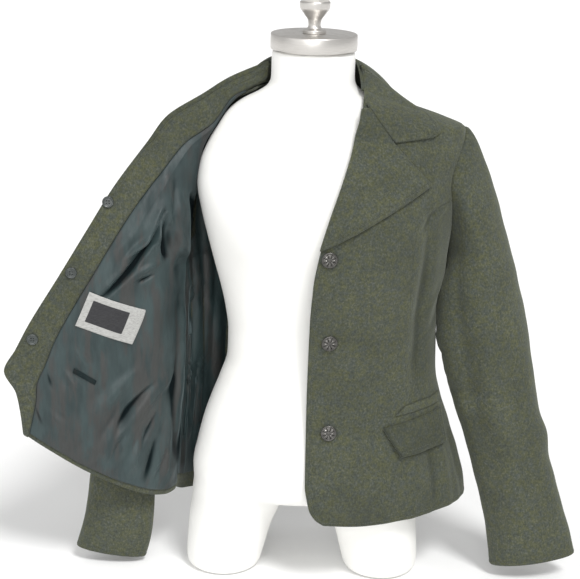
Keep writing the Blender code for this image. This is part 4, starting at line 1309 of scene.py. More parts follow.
def wall_faces(rows: int, columns: int) -> tuple[list[tuple[int, ...]], list[int]]:
    """Faces of a wall between two grids and a rim between them.

    Args:
        rows: Rows of each grid.
        columns: Columns of each grid.

    Returns:
        The faces, and the indices of the outer grid's points round its edge. The points
        are those of the outer grid, the inner grid and the rim, in this order.
    """
    count = rows * columns
    index = np.arange(count).reshape(rows, columns)
    quads = np.stack([index[:-1, :-1], index[:-1, 1:], index[1:, 1:], index[1:, :-1]], -1)
    outer = quads.reshape(-1, 4)
    faces = [tuple(face) for face in outer.tolist()]
    faces += [tuple(face) for face in (outer[:, ::-1] + count).tolist()]
    rim = np.concatenate([index[0, :-1], index[:-1, -1], index[-1, :0:-1], index[:0:-1, 0]])
    rim_list = rim.tolist()
    for i, (one, two) in enumerate(zip(rim_list, rim_list[1:] + rim_list[:1])):
        middle, after = 2 * count + i, 2 * count + (i + 1) % len(rim_list)
        faces.append((two, one, middle, after))
        faces.append((after, middle, one + count, two + count))
    return faces, rim_list


def rim_points(outer: Array, inner: Array, rim: Sequence[int]) -> Array:
    """Points of a rim that rounds the edge between the outer and the inner grid."""
    flat_outer, flat_inner = outer.reshape(-1, 3), inner.reshape(-1, 3)
    middle = (flat_outer[rim] + flat_inner[rim]) / 2
    thickness = np.linalg.norm(flat_outer[rim] - flat_inner[rim], axis=-1)
    rows, columns = outer.shape[:2]
    row, column = np.divmod(np.array(rim), columns)
    inside_row = np.clip(row, 1, rows - 2)
    inside_column = np.clip(column, 1, columns - 2)
    inside = (outer[inside_row, inside_column] + inner[inside_row, inside_column]) / 2
    away = unit(middle - inside)
    bulge = np.minimum(.35 * thickness, .0016)
    return middle + away * bulge[:, None]


# ---- creases
FRONT_FOLDS = FoldField(table(Fold,
    (114, .566, 130, .549, .0032, -.0016), (115, .556, 128, .541, .004, .0016),
    (116, .548, 124, .534, .0034, -.001), (127, .552, 124, .29, .015, -.006, .03),
    (119, .556, 131, .528, .005, -.003, -.1), (139, .116, 133, .235, .011, .0036, -.04),
    (127, .114, 124, .21, .009, -.003), (150, .113, 146, .185, .014, .0022),
    (118, .116, 116, .23, .011, .0034), (104, .116, 102, .25, .013, -.0026),
    (168, .382, 138, .371, .01, -.0012), (166, .366, 142, .345, .011, .0013),
    (98, .44, 122, .395, .01, .002), (96, .405, 118, .372, .008, -.0016),
    (160, .47, 130, .51, .018, .0012), (168, .25, 142, .235, .013, -.001),
    (12, .115, 10, .27, .015, .003), (34, .115, 30, .25, .013, .0036),
    (48, .118, 46, .22, .011, -.0026), (66, .118, 62, .255, .014, .0032),
    (22, .412, 60, .35, .011, -.002), (44, .396, 14, .362, .011, .0016),
    (56, .59, 46, .455, .013, -.0022), (50, .56, 24, .52, .012, .0014),
), u_scale=.0033)
RIGHT_BACK_FOLDS = FoldField(table(Fold,
    (9, .116, 8, .25, .014, .0026), (28, .114, 24, .27, .012, .0034),
    (52, .112, 49, .23, .013, .003), (76, .116, 72, .21, .011, -.0024),
    (20, .405, 58, .372, .01, -.0022), (50, .388, 16, .34, .012, .0016),
    (54, .61, 47, .48, .012, -.002), (62, .47, 30, .44, .011, .0016),
), u_scale=.0031)
OPEN_FOLDS = FoldField(table(Fold,
    (.16, .02, .2, .22, .011, .0022), (.48, .02, .46, .18, .013, -.002),
    (.74, .02, .7, .2, .012, .002), (.1, .46, .42, .52, .01, -.0018),
    (.12, .4, .36, .36, .011, .0016), (.3, .66, .72, .6, .012, .0014),
), u_scale=.21, v_scale=.62, ripple=.0004)
LINING_FOLDS = FoldField(table(Fold,
    (-.205, .545, -.222, .478, .011, .008, .06), (-.203, .541, -.284, .424, .003, -.011, -.06),
    (-.193, .532, -.191, .47, .006, .01, -.08), (-.2, .535, -.201, .478, .003, -.008, .1),
    (-.207, .524, -.209, .492, .0038, .006, .08), (-.218, .502, -.246, .476, .0024, -.004, .05),
    (-.214, .512, -.262, .455, .005, .0046, .08), (-.213, .47, -.252, .438, .0055, .0046, .1),
    (-.216, .455, -.236, .446, .0025, -.0036), (-.24, .52, -.296, .432, .013, .0056, .03),
    (-.181, .575, -.17, .415, .008, .006, .03), (-.17, .56, -.166, .48, .0042, -.0085, -.03),
    (-.166, .47, -.168, .36, .003, -.004, -.02), (-.189, .585, -.184, .42, .0042, -.004, .02),
    (-.172, .42, -.176, .27, .01, .004, .03), (-.186, .41, -.204, .22, .005, -.0034, -.03),
    (-.206, .44, -.222, .3, .012, .0044, .04), (-.195, .3, -.262, .204, .009, .0066, .06),
    (-.216, .296, -.268, .226, .004, -.0045, .05), (-.236, .318, -.292, .248, .009, .005, .05),
    (-.258, .262, -.282, .196, .006, .0036), (-.228, .214, -.252, .152, .0065, .0058),
    (-.214, .206, -.226, .148, .0036, -.004), (-.198, .222, -.205, .138, .0075, .006, .03),
    (-.18, .234, -.184, .14, .004, -.0042), (-.27, .196, -.288, .16, .006, .0042),
    (-.306, .206, -.326, .176, .007, .0036), (-.34, .214, -.356, .192, .006, .003),
    (-.318, .35, -.3, .322, .004, .0022), (-.332, .318, -.312, .288, .0045, .0026),
    (-.356, .262, -.334, .236, .005, .0028), (-.358, .318, -.352, .296, .003, -.004),
    (-.376, .27, -.366, .24, .0028, -.0036), (-.186, .33, -.19, .16, .0034, -.004, .02),
    (-.212, .25, -.238, .175, .003, -.004, .04), (-.202, .19, -.214, .142, .003, -.0046),
    (-.252, .228, -.276, .176, .0032, -.0036, .03), (-.205, .61, -.19, .54, .008, .0034, .05),
    (-.222, .59, -.236, .52, .0075, .003),
), by_place=True, ripple=.0007)
LEFT_SLEEVE_FOLDS = FoldField(table(Fold,
    (.15, .08, .22, .4, .024, .0068), (1.05, .18, .95, .64, .011, -.0044),
    (1.55, .26, 1.35, .9, .012, .003), (2.1, .34, 1.95, .74, .012, -.0024),
    (.1, .335, 1.9, .3, .0075, .003, .03), (0, .385, 1.7, .36, .006, -.0034, .04),
    (.2, .43, 1.9, .425, .0085, .0034, -.03), (.1, .48, 1.5, .49, .006, -.0028),
    (.3, .53, 1.8, .56, .009, .0026), (2.4, .61, 3.5, .66, .016, .004),
    (2.3, .7, 3.3, .73, .011, -.0024), (1.2, .06, .9, .3, .01, -.0018),
    (1.6, .62, 1.4, .86, .014, .0018), (2.2, .78, 2.1, .96, .012, -.0016),
    (4.4, .36, 5.9, .33, .008, .0026), (4.3, .43, 5.8, .44, .008, -.0026),
    (4.4, .5, 5.9, .52, .009, .0028), (4.9, .62, 4.6, .86, .014, .002),
    (3.6, .17, 4.6, .3, .012, .002), (-1.6, .38, 0, .385, .007, -.0024),
    (-1.5, .47, .1, .48, .008, .0024),
), u_scale=.055, v_scale=.47, ripple=.0005)
RIGHT_SLEEVE_FOLDS = FoldField(table(Fold,
    (.2, .35, 1.7, .32, .008, .0028), (.1, .4, 1.6, .41, .007, -.0028),
    (.2, .47, 1.8, .48, .009, .0028), (2.3, .6, 3.4, .64, .014, .003),
    (1.3, .8, 1.5, .96, .011, .002), (.6, .76, .9, .93, .01, -.0018),
    (2.2, .79, 2, .95, .011, -.0018), (4.4, .36, 5.8, .35, .009, .0024),
    (4.3, .44, 5.9, .45, .008, -.0026), (4.8, .62, 4.6, .88, .014, .002),
    (-1.5, .41, 0, .42, .008, -.0022), (3.7, .2, 4.5, .32, .012, .0018),
), u_scale=.05, v_scale=.46, ripple=.0005)


BACK_LINING_FOLDS = FoldField(table(Fold,
    (82, .16, 80, .52, .006, -.006), (76, .14, 74, .44, .005, -.007, .02),
    (69, .18, 68, .56, .006, -.006, -.02), (61, .15, 63, .42, .006, -.007),
    (54, .3, 55, .6, .007, -.005), (46, .15, 48, .38, .008, -.006), (34, .2, 36, .56, .009, -.005),
    (20, .15, 18, .5, .009, -.005), (84, .3, 70, .262, .0045, -.004),
    (80, .42, 64, .38, .005, -.004),
), u_scale=.0031, ripple=0.0)


def back_lining_shade(turn: Array, height: Array) -> Array:
    """Share of shade between the folds of the lining inside the right back."""
    rise = BACK_LINING_FOLDS.rise(turn, height, RIGHT.point(turn, height))
    return .05 * limited((rise + .001) / .0016)


def under_collar(turn: Array, height: Array) -> Array:
    """Share of the creases that shows below the collar: none of them under it."""
    return limited((.652 - height) / .045) + 0 * turn


def near_armhole(angle: Array, row: Array) -> Array:
    """Share of a sleeve's creases: none where it is sewn on."""
    return limited(row / .09) + 0 * angle


def crease_shade(turn: Array, height: Array) -> Array:
    """Share of painted shade in the hollows of the closed side's creases, under its arm and near
    the hem.
    """
    rise = FRONT_FOLDS.rise(turn, height, LEFT.point(turn, height))
    depth = .9 * limited((-rise - .0004) / .0045)
    under_arm = .7 * bell(turn - 101, 21.0) * limited((height - .24) / .12)
    under_arm = under_arm * limited((.6 - height) / .06)
    # Painted shade, darker towards the hem.
    low = .34 * limited((.175 - height) / .08)
    return np.maximum(np.maximum(depth, under_arm) * under_collar(turn, height), low)


LEFT_CLOTH = Hung(LEFT, FRONT_FOLDS, under_collar)
RIGHT_CLOTH = Hung(RIGHT, RIGHT_BACK_FOLDS, under_collar)
INSIDE = Hung(OPEN, OPEN_FOLDS)
OUTSIDE = Hung(OPEN, OPEN_FOLDS)
OUTSIDE.side = -1.0
BACK_LINING = Hung(RIGHT_CLOTH, BACK_LINING_FOLDS)


class LiningFront(Surface):
    """Loose lining over the inside of the opened front, in folds that only stand away."""

    lift = CLOTH / 2 + 2 * LAY + SATIN / 2
    slack = .0046

    def point(self, a: Reals, b: Reals) -> Array:
        """Point at a share and a row."""
        a, b = paired(a, b)
        base = INSIDE.point(a, b)
        rise = LINING_FOLDS.rise(a, b, base)
        slack = self.slack + np.maximum(rise, -self.slack)
        share = OPEN.facing_share(b)
        fade = limited(np.minimum(9 * a, 10 * (share - a)))
        fade = fade * limited(np.minimum(16 * (b - .01), 10 * (.965 - b)))
        return base + INSIDE.normal(a, b) * (self.lift + slack * fade)[..., None]

    def shade(self, a: Array, b: Array) -> Array:
        """Share of shade, deepest in the narrow creases and more towards the neck."""
        rise = LINING_FOLDS.rise(a, b, INSIDE.point(a, b))
        depth = limited(-(rise + .0006) / .0046)
        return np.maximum(depth, .24 * limited((b - .56) / .16))


class Mapped(Surface):
    """A small piece's own coordinates, both from 0 to 1, laid on another surface."""

    def __init__(self, base: Surface, place: Placing,
                 away: Spread | None = None) -> None:
        """Take the surface, the place on it and how far the piece stands away from it."""
        self.base = base
        self.place = place
        self.away = away

    def point(self, a: Reals, b: Reals) -> Array:
        """Point at the piece's own coordinates."""
        a, b = paired(a, b)
        point = self.base.point(*self.place(a, b))
        if self.away is None:
            return point
        return point + self.normal(a, b) * self.away(a, b)[..., None]

    def normal(self, a: Reals, b: Reals) -> Array:
        """Normal of the surface below."""
        a, b = paired(a, b)
        return self.base.normal(*self.place(a, b))


def princess_turn(height: Reals) -> Array:
    """Turn of the closed front's princess seam, or of the armhole above it."""
    height = np.asarray(height, float)
    armhole = front_armhole(height)
    seam = np.maximum(LEFT.turn_at(Curve(PRINCESS, "x")(height), height), armhole + .4)
    return np.where(height > PRINCESS_TOP, armhole, seam)


def front_turn(height: Reals) -> Array:
    """Turn of the closed front's edge."""
    return LEFT.turn_at(Curve(FRONT_EDGE, "x")(height), height)


def lapel_place(a: Array, b: Array) -> tuple[Array, Array]:
    """Place of the lapel's point: a from the roll outwards, b from its lower edge up."""
    heights = LAPEL_HEIGHTS[0] + (LAPEL_HEIGHTS[1] - LAPEL_HEIGHTS[0]) * b
    start = Curve(FRONT_EDGE, "x")(heights) - .0014
    corners = np.array(LAPEL_EDGE[2:])
    along = np.concatenate([[0.0], np.cumsum(np.linalg.norm(np.diff(corners, axis=0), axis=1))])
    reach = limited(b) * along[-1]
    end_x, end_height = (np.interp(reach, along, corners[:, i]) for i in (1, 0))
    bow = .0022 * 4 * a * (1 - a) * (1 - b)
    x = start + (end_x - start) * a
    height = heights + (end_height - heights) * a - bow
    return LEFT.place_under(x, height, CLOTH / 2 + 2 * LAY + DOUBLED / 2)


def between_corners(corners: Sequence[Sequence[float]]) -> Placing:
    """Places between four corners, given from the upper left one on, clockwise."""
    upper_left, upper_right, lower_right, lower_left = np.array(corners)

    def place(a: Array, b: Array) -> tuple[Array, Array]:
        """Place at two shares, from the lower left corner."""
        a, b = paired(a, b)
        both = mixed(mixed(lower_left, lower_right, a), mixed(upper_left, upper_right, a), b)
        return both[..., 0], both[..., 1]

    return place


def on_closed(corners: Sequence[Corner]) -> Placing:
    """Places of a flap or a welt on the closed front."""
    place = between_corners(corners)
    return lambda a, b: (LEFT.turn_at(*place(a, b)), place(a, b)[1])


def on_opened(corners: Sequence[Corner]) -> Placing:
    """Places of a label or a welt on the opened front."""
    return between_corners([np.ravel(OPEN.place(*corner)) for corner in corners])


def set_back(row: Array) -> Array:
    """Share at which the facing ends: a little inside the edge along the collar and lapel."""
    back = .0042 * limited((row - .7) / .04) * limited((1.0 - row) / .03)
    return 1 - back / OPEN.width(row)


def hem_of(half: str) -> Spread:
    """Heights of a half that follow its hem, near which they rise and fall with it."""
    rise = Curve(HEM_LINE, half)
    return lambda turn, height: (
        height + rise(turn) * np.maximum(0.0, 1 - (height - HEM) / HEM_FADE))


def right_back_edge(height: Array) -> Array:
    """Turn of the right back's edge, which reaches a little into the sleeve."""
    return back_armhole(height) + 3.2 * np.sin(math.pi * armhole_share(height))


def lapel_away(a: Array, b: Array) -> Array:
    """How far the lapel's lower edge stands away from the front."""
    return .0026 * bell(b, .17) * limited(3 * a)


def flap_shade(a: Array, b: Array) -> Array:
    """Share of painted shade over the whole flap, deepest at its front and lower edges."""
    return np.maximum(np.maximum(.9 * bell(a, .04), .6 * bell(b, .05)), .42)


def flap_away(a: Array, b: Array) -> Array:
    """How far the flap's lower and front edges stand away from the front."""
    return .003 * bell(b, .45) + .0016 * bell(a, .14) * (1 - b)


# ---- sub-assemblies
@dataclass
class Sewn:
    """Cloth pieces of one sub-assembly.

    Attributes:
        half: Half the cloth's thickness.
        shells: The built pieces, by name.
    """

    half: float = CLOTH / 2
    shells: dict[str, Shell] = field(default_factory=dict)

    def sew(self, shop: Workshop, name: str, layout: Layout, low: float, high: float,
            *rest: object, **finish: object) -> None:
        """Make a piece with the arguments of Workshop.cloth, and keep its shell."""
        self.shells[name] = shop.cloth(name, layout, low, high, *rest, **finish)


@dataclass
class Closed(Sewn):
    """Backs, closed front and its lapel and pocket.

    Attributes:
        fine: Spacing of the rows where the piece is seen closely.
        coarse: Spacing elsewhere.
    """

    fine: float = .0042
    coarse: float = .0062

    def build(self, shop: Workshop) -> None:
        """Make every piece."""
        sew, seam, flat = Edge.STITCHED, Edge.SEAM, Edge.FLAT
        back, left = (seam, seam, sew, seam), hem_of("left")
        panels = (
            ("back_left", LEFT_CLOTH, back, self.coarse, steady(0.0), back_armhole, NECK_POINT,
             left),
            ("back_right", RIGHT_CLOTH, back, self.coarse, steady(0.0), right_back_edge,
             NECK_POINT, hem_of("right")),
            ("front_left", LEFT_CLOTH, (flat, sew, sew, seam), self.fine, princess_turn,
             front_turn, NECK_POINT, left),
            ("side_front_left", LEFT_CLOTH, (seam, flat, sew, flat), self.fine, front_armhole,
             princess_turn, PRINCESS_TOP - .001, left),
        )
        for name, surface, edges, spacing, start, end, top, hem in panels:
            layout = Layout(surface, edges, spacing, start, end, HEM, top, warp=hem)
            self.sew(shop, name, layout, -self.half, self.half,
                     shade_of=crease_shade if surface is LEFT_CLOTH else None)
        low = self.half + 2 * LAY
        lapel = Layout(Mapped(LEFT_CLOTH, lapel_place, lapel_away),
                       (Edge.HIDDEN, flat, sew, Edge.HIDDEN), .0038)
        self.sew(shop, "lapel_left", lapel, low, low + DOUBLED, ("cloth_front_left",), "folded",
                 wrap=low + self.half)
        strips = (("flap_left", FLAP, DOUBLED + .0006, sew, flap_away),
                  ("welt_left", WELT, CLOTH - .001, Edge.TURNED, None))
        for name, strip, thickness, edge, away in strips:
            layout = Layout(Mapped(LEFT_CLOTH, on_closed(strip), away),
                            (edge, edge, edge, Edge.TURNED), .003)
            self.sew(shop, name, layout, low, low + thickness,
                     ("cloth_front_left", "cloth_side_front_left"), "laid",
                     shade_of=flap_shade if away else None)


@dataclass
class Opened(Sewn):
    """The opened front: shell, facing, lining, label, welts and flap.

    Attributes:
        facing_low: Lift of the facing above the middle of the shell.
        label_low: Lift of what lies on the lining.
        shoulder_end: Share along the fold at which the cloth behind it ends.
        shell: Pieces that the front's other pieces lie on.
    """

    facing_low: float = CLOTH / 2 + 1.5 * LAY
    label_low: float = CLOTH / 2 + 2 * LAY + SATIN + 1.5 * LAY + LiningFront.slack
    shoulder_end: float = 1.18
    shell: tuple[str, str] = ("cloth_front_right", "cloth_side_front_right")

    def build(self, shop: Workshop) -> None:
        """Make every piece."""
        sew, seam, flat = Edge.STITCHED, Edge.SEAM, Edge.FLAT
        turned, hidden = Edge.TURNED, Edge.HIDDEN
        share, loose = OPEN.facing_share, LiningFront()
        half = self.half
        self.sew(shop, "side_front_right", Layout(
            OUTSIDE, (seam, seam, sew, seam), .0055, steady(.005), steady(OPEN_PRINCESS)),
            -half, half)
        self.sew(shop, "front_right", Layout(
            OUTSIDE, (seam, sew, sew, seam), .0055, steady(OPEN_PRINCESS)), -half, half)
        low = self.facing_low
        self.sew(shop, "facing_right", Layout(
            INSIDE, (seam, sew, turned, flat), .0042, share, set_back, 0.0, NOTCH_ROW),
            low, low + CLOTH, self.shell[:1], "laid")
        self.sew(shop, "collar_right_end", Layout(
            INSIDE, (seam, sew, flat, turned), .0038, share, set_back, NOTCH_ROW + .0005),
            low, low + CLOTH, self.shell[:1], "folded")
        self.sew(shop, "lining_front_right", Layout(
            loose, (turned, turned, turned, hidden), .0021, end=share, low=.012, high=.96,
            gap=.001), -SATIN / 2, SATIN / 2, self.shell, finish="lining",
            shade_of=loose.shade)
        low, around = self.label_low, (turned,) * 4
        self.sew(shop, "label", Layout(Mapped(INSIDE, on_opened(LABEL)), around, .0014),
                 low, low + LABEL_CLOTH, ("cloth_lining_front_right",), "laid", "label_satin",
                 field_of=self.woven_field)
        # Painted shade darkens the whole inner welt, as the mouth of a pocket.
        self.sew(shop, "inner_welt", Layout(
            Mapped(INSIDE, on_opened(INNER_WELT)), around, .0022), low, low + SATIN,
            ("cloth_lining_front_right",), "laid", "lining",
            shade_of=lambda a, b: np.full_like(a, .7))
        low = half + 2 * LAY
        for name, (start, end, bottom, top), edge in (("flap_right", RIGHT_FLAP, sew),
                                                      ("welt_right", RIGHT_WELT, turned)):
            layout = Layout(OUTSIDE, (edge, edge, edge, turned), .004, steady(start),
                            steady(end), bottom, top)
            self.sew(shop, name, layout, low, low + DOUBLED, self.shell, "laid")
        self.sew(shop, "front_right_shoulder", Layout(
            FOLD_BACK, (turned, seam, seam, seam), .0055, high=self.shoulder_end),
            -half, half, held="folded")
        low = -(half + LAY + SATIN)
        self.sew(shop, "lining_back_right", Layout(
            BACK_LINING, (turned, turned, turned, hidden), .005, end=right_back_edge,
            low=.13, high=.672, warp=hem_of("right")), low, low + SATIN,
            ("cloth_back_right",), finish="lining", shade_of=back_lining_shade)

    @staticmethod
    def woven_field(across: Array, up: Array) -> Array:
        """Share of the label's darker field, inside its pale border."""
        sides = np.minimum(across - .115, .755 - across) * 77
        ends = np.minimum(up - .2, .83 - up) * 50
        return limited(.5 + .5 * np.minimum(sides, ends))


@dataclass
class Sleeves(Sewn):
    """Upper and under sleeve on both sides.

    Attributes:
        parts: Name, start and end in turns of 22.5 degrees, and spacing of its rows.
        sink: Row at which a sleeve starts, inside the seam allowance of the body.
    """

    parts: tuple[tuple[str, float, float, float], ...] = (("upper", 2, 14, .0044),
                                                          ("under", -2, 2, .006))
    sink: float = -.011

    def build(self, shop: Workshop) -> None:
        """Make every piece."""
        tubes = (("left", SleeveTube(LEFT_SLEEVE, left_armhole, 1.0, .022), LEFT_SLEEVE_FOLDS),
                 ("right", SleeveTube(RIGHT_SLEEVE, right_armhole, -1.0, -.01),
                  RIGHT_SLEEVE_FOLDS))
        turn = math.pi / 8
        for word, tube, folds in tubes:
            surface = Hung(tube, folds, near_armhole)
            for part, start, end, spacing in self.parts:
                layout = Layout(surface, (Edge.FLAT, Edge.FLAT, Edge.SEAM, Edge.STITCHED),
                                spacing, steady(start * turn), steady(end * turn), self.sink)
                self.sew(shop, f"sleeve_{word}_{part}", layout, -self.half, self.half)


@dataclass
class Collar(Sewn):
    """The collar's fall and its stand.

    Attributes:
        right_end: Coordinate b at which the collar ends on the opened side.
    """

    right_end: float = -(1 - COLLAR_RIGHT_END) - .04

    def build(self, shop: Workshop) -> None:
        """Make both pieces."""
        hidden, seam = Edge.HIDDEN, Edge.SEAM
        fall = Layout(CollarFall(), (hidden, Edge.STITCHED, seam, hidden), .004,
                      low=self.right_end, gap=-.0006)
        self.sew(shop, "collar", fall, -DOUBLED / 2, DOUBLED / 2, held="folded", wrap=.0028)
        stand = Layout(CollarStand(), (seam, hidden, seam, seam), .0045, low=self.right_end,
                       high=1 - STAND_FRONT_END)
        self.sew(shop, "collar_stand", stand, -self.half, self.half, held="folded")


# ---- form and metal
@dataclass
class DressForm:
    """The limbless form with its neck plate and knob.

    Attributes:
        sides: Points round each section.
        rows: Sections along the torso and along each thigh.
        voxel: Size of the grid that joins the torso and the thighs.
        stride: How much further out the left thigh stands.
        bust: Rise, height, distance from the middle and spread of the bust.
    """

    sides: int = 120
    rows: tuple[int, int] = (150, 40)
    voxel: float = .0042
    stride: float = .008
    bust: tuple[float, float, float, float] = (.016, .522, .078, .046)

    def torso(self) -> Array:
        """Rings of the torso."""
        rise, height, middle, spread = self.bust
        width, front, back = columns(TORSO).values()
        angle = np.linspace(0, 2 * math.pi, self.sides, endpoint=False)
        z = np.linspace(TORSO[0].height, TORSO[-1].height, self.rows[0])[:, None]
        x = width(z) * np.sin(angle)
        y = np.where(np.cos(angle) < 0, front(z), back(z)) * np.cos(angle)
        off = ((np.abs(x) - middle) / spread) ** 2 + ((z - height) / spread) ** 2
        return points_of(x, y - rise * np.exp(-off) * np.maximum(-np.cos(angle), 0), z)

    def thigh(self, side: float) -> Array:
        """Rings of one thigh end."""
        middle, width, depth = columns(THIGH).values()
        apart = self.stride if side > 0 else 0.0
        angle = np.linspace(0, 2 * math.pi, self.sides, endpoint=False)
        z = np.linspace(0.0, THIGH[-1].height, self.rows[1])[:, None]
        x = side * (middle(z) + apart + width(z) * np.sin(angle))
        return points_of(x, depth(z) * np.cos(angle), z)

    def build(self, shop: Workshop) -> None:
        """Make the form, the plate and the knob."""
        points, faces = [], []
        for rings in (self.torso(), self.thigh(-1.0), self.thigh(1.0)):
            faces += loft_faces(len(rings), self.sides, len(points))
            points += np.concatenate(rings).tolist()
        mesh = bpy.data.meshes.new("form_parts")
        mesh.from_pydata((np.array(points) + shop.offset).tolist(), [], faces)
        rough = linked("form_parts", mesh)
        remesh = rough.modifiers.new("join", "REMESH")
        remesh.mode = "VOXEL"
        remesh.voxel_size = self.voxel
        smooth = rough.modifiers.new("smooth", "SMOOTH")
        smooth.iterations = 6
        joined = settled(rough)
        joined.materials.clear()
        joined.materials.append(shop.materials["form_cover"])
        joined.shade_smooth()
        shop.placed(linked("form_body", joined), ("dress_form",))
        self.metal(shop)

    def metal(self, shop: Workshop) -> None:
        """The brushed plate on the neck and the knob on it."""
        edge = .0016
        plate = ((0.0, 0.0), (0.0, PLATE_RADIUS - edge), (edge * .3, PLATE_RADIUS - edge * .3),
                 (edge, PLATE_RADIUS), (.0105, PLATE_RADIUS + .0002),
                 (PLATE_HEIGHT - edge, PLATE_RADIUS),
                 (PLATE_HEIGHT - edge * .3, PLATE_RADIUS - edge * .3),
                 (PLATE_HEIGHT, PLATE_RADIUS - edge), (PLATE_HEIGHT, 0.0))
        base = NECK_TOP + SEAM
        turned(shop, "neck_cap", plate, base, "neck_plate", 128)
        radius = Curve(FINIAL, "radius")
        heights = np.linspace(0.0, FINIAL[-1].height, 90)
        knob = [(0.0, 0.0), *((z, float(radius(z))) for z in heights), (heights[-1], 0.0)]
        turned(shop, "neck_knob", knob, base + PLATE_HEIGHT + SEAM, "finial", 72)


def loft_faces(rings: int, sides: int, first: int = 0,
               poles: bool = False) -> list[tuple[int, ...]]:
    """Faces of a closed loft through rings.

    Args:
        rings: How many rings there are.
        sides: Points of each ring.
        first: Index of the first ring's first point.
        poles: Whether the ends close on two more points, and not with flat faces.

    Returns:
        The faces, as indices of points.
    """
    index = np.arange(rings * sides).reshape(rings, sides) + first
    after = np.roll(index, -1, axis=1)
    quads = np.stack([index[:-1], after[:-1], after[1:], index[1:]], -1).reshape(-1, 4)
    faces = [tuple(face) for face in quads.tolist()]
    if not poles:
        return [*faces, tuple(index[0, ::-1].tolist()), tuple(index[-1].tolist())]
    low = first + index.size
    for i in range(sides):
        faces.append((low, int(after[0, i]), int(index[0, i])))
        faces.append((low + 1, int(index[-1, i]), int(after[-1, i])))
    return faces


def turned(shop: Workshop, name: str, profile: Sequence[tuple[float, float]], base: float,
           node: str, sides: int) -> bpy.types.Object:
    """Make a metal piece turned about the neck's axis.

    Args:
        shop: Makes the piece.
        name: Name of the piece.
        profile: Height above the base and radius, from the bottom's middle to the top's.
        base: Height of its bottom.
        node: Node of the frame that it stands for.
        sides: Points round it.

    Returns:
        The piece.
    """
    angle = np.linspace(0, 2 * math.pi, sides, endpoint=False)
    rings = [points_of(radius * np.sin(angle), radius * np.cos(angle), base + height)
             for height, radius in profile[1:-1]]
    points = np.concatenate([*rings, [(0.0, 0.0, base + profile[0][0])],
                             [(0.0, 0.0, base + profile[-1][0])]])
    return shop.piece(name, points, loft_faces(len(rings), sides, poles=True), "brushed_metal",
                      (node,))


@dataclass(frozen=True)
class ButtonFace:
    """A round button made as a relief over its radius and its angle.

    Attributes:
        radius: Radius of the button.
        sides: Points round it.
        rings: Rings from the middle to the rim.
    """

    radius: float
    sides: int
    rings: int

    def height(self, r: Array, angle: Array) -> Array:
        """Height of the face above the button's base."""
        raise NotImplementedError

    def make(self, shop: Workshop, name: str, base: Array, axis: Array, finish: str,
             node: str) -> bpy.types.Object:
        """Make the button on a base point, facing along an axis."""
        side = unit(np.cross(axis, (0.0, 0.0, 1.0)))
        up = np.cross(side, axis)
        angle = np.linspace(0, 2 * math.pi, self.sides, endpoint=False)
        shares = np.linspace(1.0, 0.0, self.rings, endpoint=False)
        r, turn = np.meshgrid(shares * self.radius, angle, indexing="ij")
        height = self.height(r, turn)
        under = np.array(((0.0, .86), (.0009, .985)))
        rings = [(np.full(self.sides, self.radius * share), np.full(self.sides, z))
                 for z, share in under]
        rings += list(zip(r, height))
        points = [base + side * (radius * np.cos(angle))[:, None]
                  + up * (radius * np.sin(angle))[:, None] + axis * np.asarray(z)[:, None]
                  for radius, z in rings]
        top = float(self.height(np.zeros(1), np.zeros(1))[0])
        points = np.concatenate([*points, [base], [base + axis * top]])
        faces = loft_faces(len(rings), self.sides, poles=True)
        smooth = np.array([z.mean() for z in height])[:, None]
        hollow = limited(.64 + (smooth - height) / .0005)
        values = np.concatenate([np.full(2 * self.sides, .7), hollow.ravel(), [.7, .2]])
        return shop.piece(name, points, faces, finish, (node,), attributes={"hollow": values})


@dataclass(frozen=True)
class RosetteButton(ButtonFace):
    """Antique metal dome with a twisted rope border and a rosette of petals."""

    radius: float = .0112
    sides: int = 144
    rings: int = 30

    def height(self, r: Array, angle: Array) -> Array:
        """Height of the dome, its rope and its petals."""
        share = r / self.radius
        dome = .0012 + .002 * np.sqrt(np.maximum(1 - (.92 * share) ** 2, 0.0))
        rope = .0009 * bell(share - .9, .075) * (.72 + .28 * np.cos(28 * angle + 260 * share))
        petals = np.abs(np.cos(4 * angle)) ** .7
        reach = bell(share - .47, .23) * (.3 + .7 * petals)
        veins = .00022 * np.cos(24 * angle) * bell(share - .5, .2)
        eye = .0008 * bell(share, .15) + .0003 * bell(share - .14, .04)
        return dome + rope + .001 * reach + veins + eye


@dataclass(frozen=True)
class HoleButton(ButtonFace):
    """Flat dark button with a raised rim and four holes."""

    radius: float = .008
    sides: int = 96
    rings: int = 30

    def height(self, r: Array, angle: Array) -> Array:
        """Height of the rim, the dished middle and the holes."""
        share = r / self.radius
        rim = .0007 * bell(share - .86, .13)
        face = .0019 + rim - .0009 * limited((share - .93) / .07) ** 2
        for k in range(4):
            turn = math.pi / 4 + k * math.pi / 2
            x = r * np.cos(angle) - .0024 * math.cos(turn)
            y = r * np.sin(angle) - .0024 * math.sin(turn)
            face = face - .0016 * limited((.00095 - np.hypot(x, y)) / .0003)
        return face


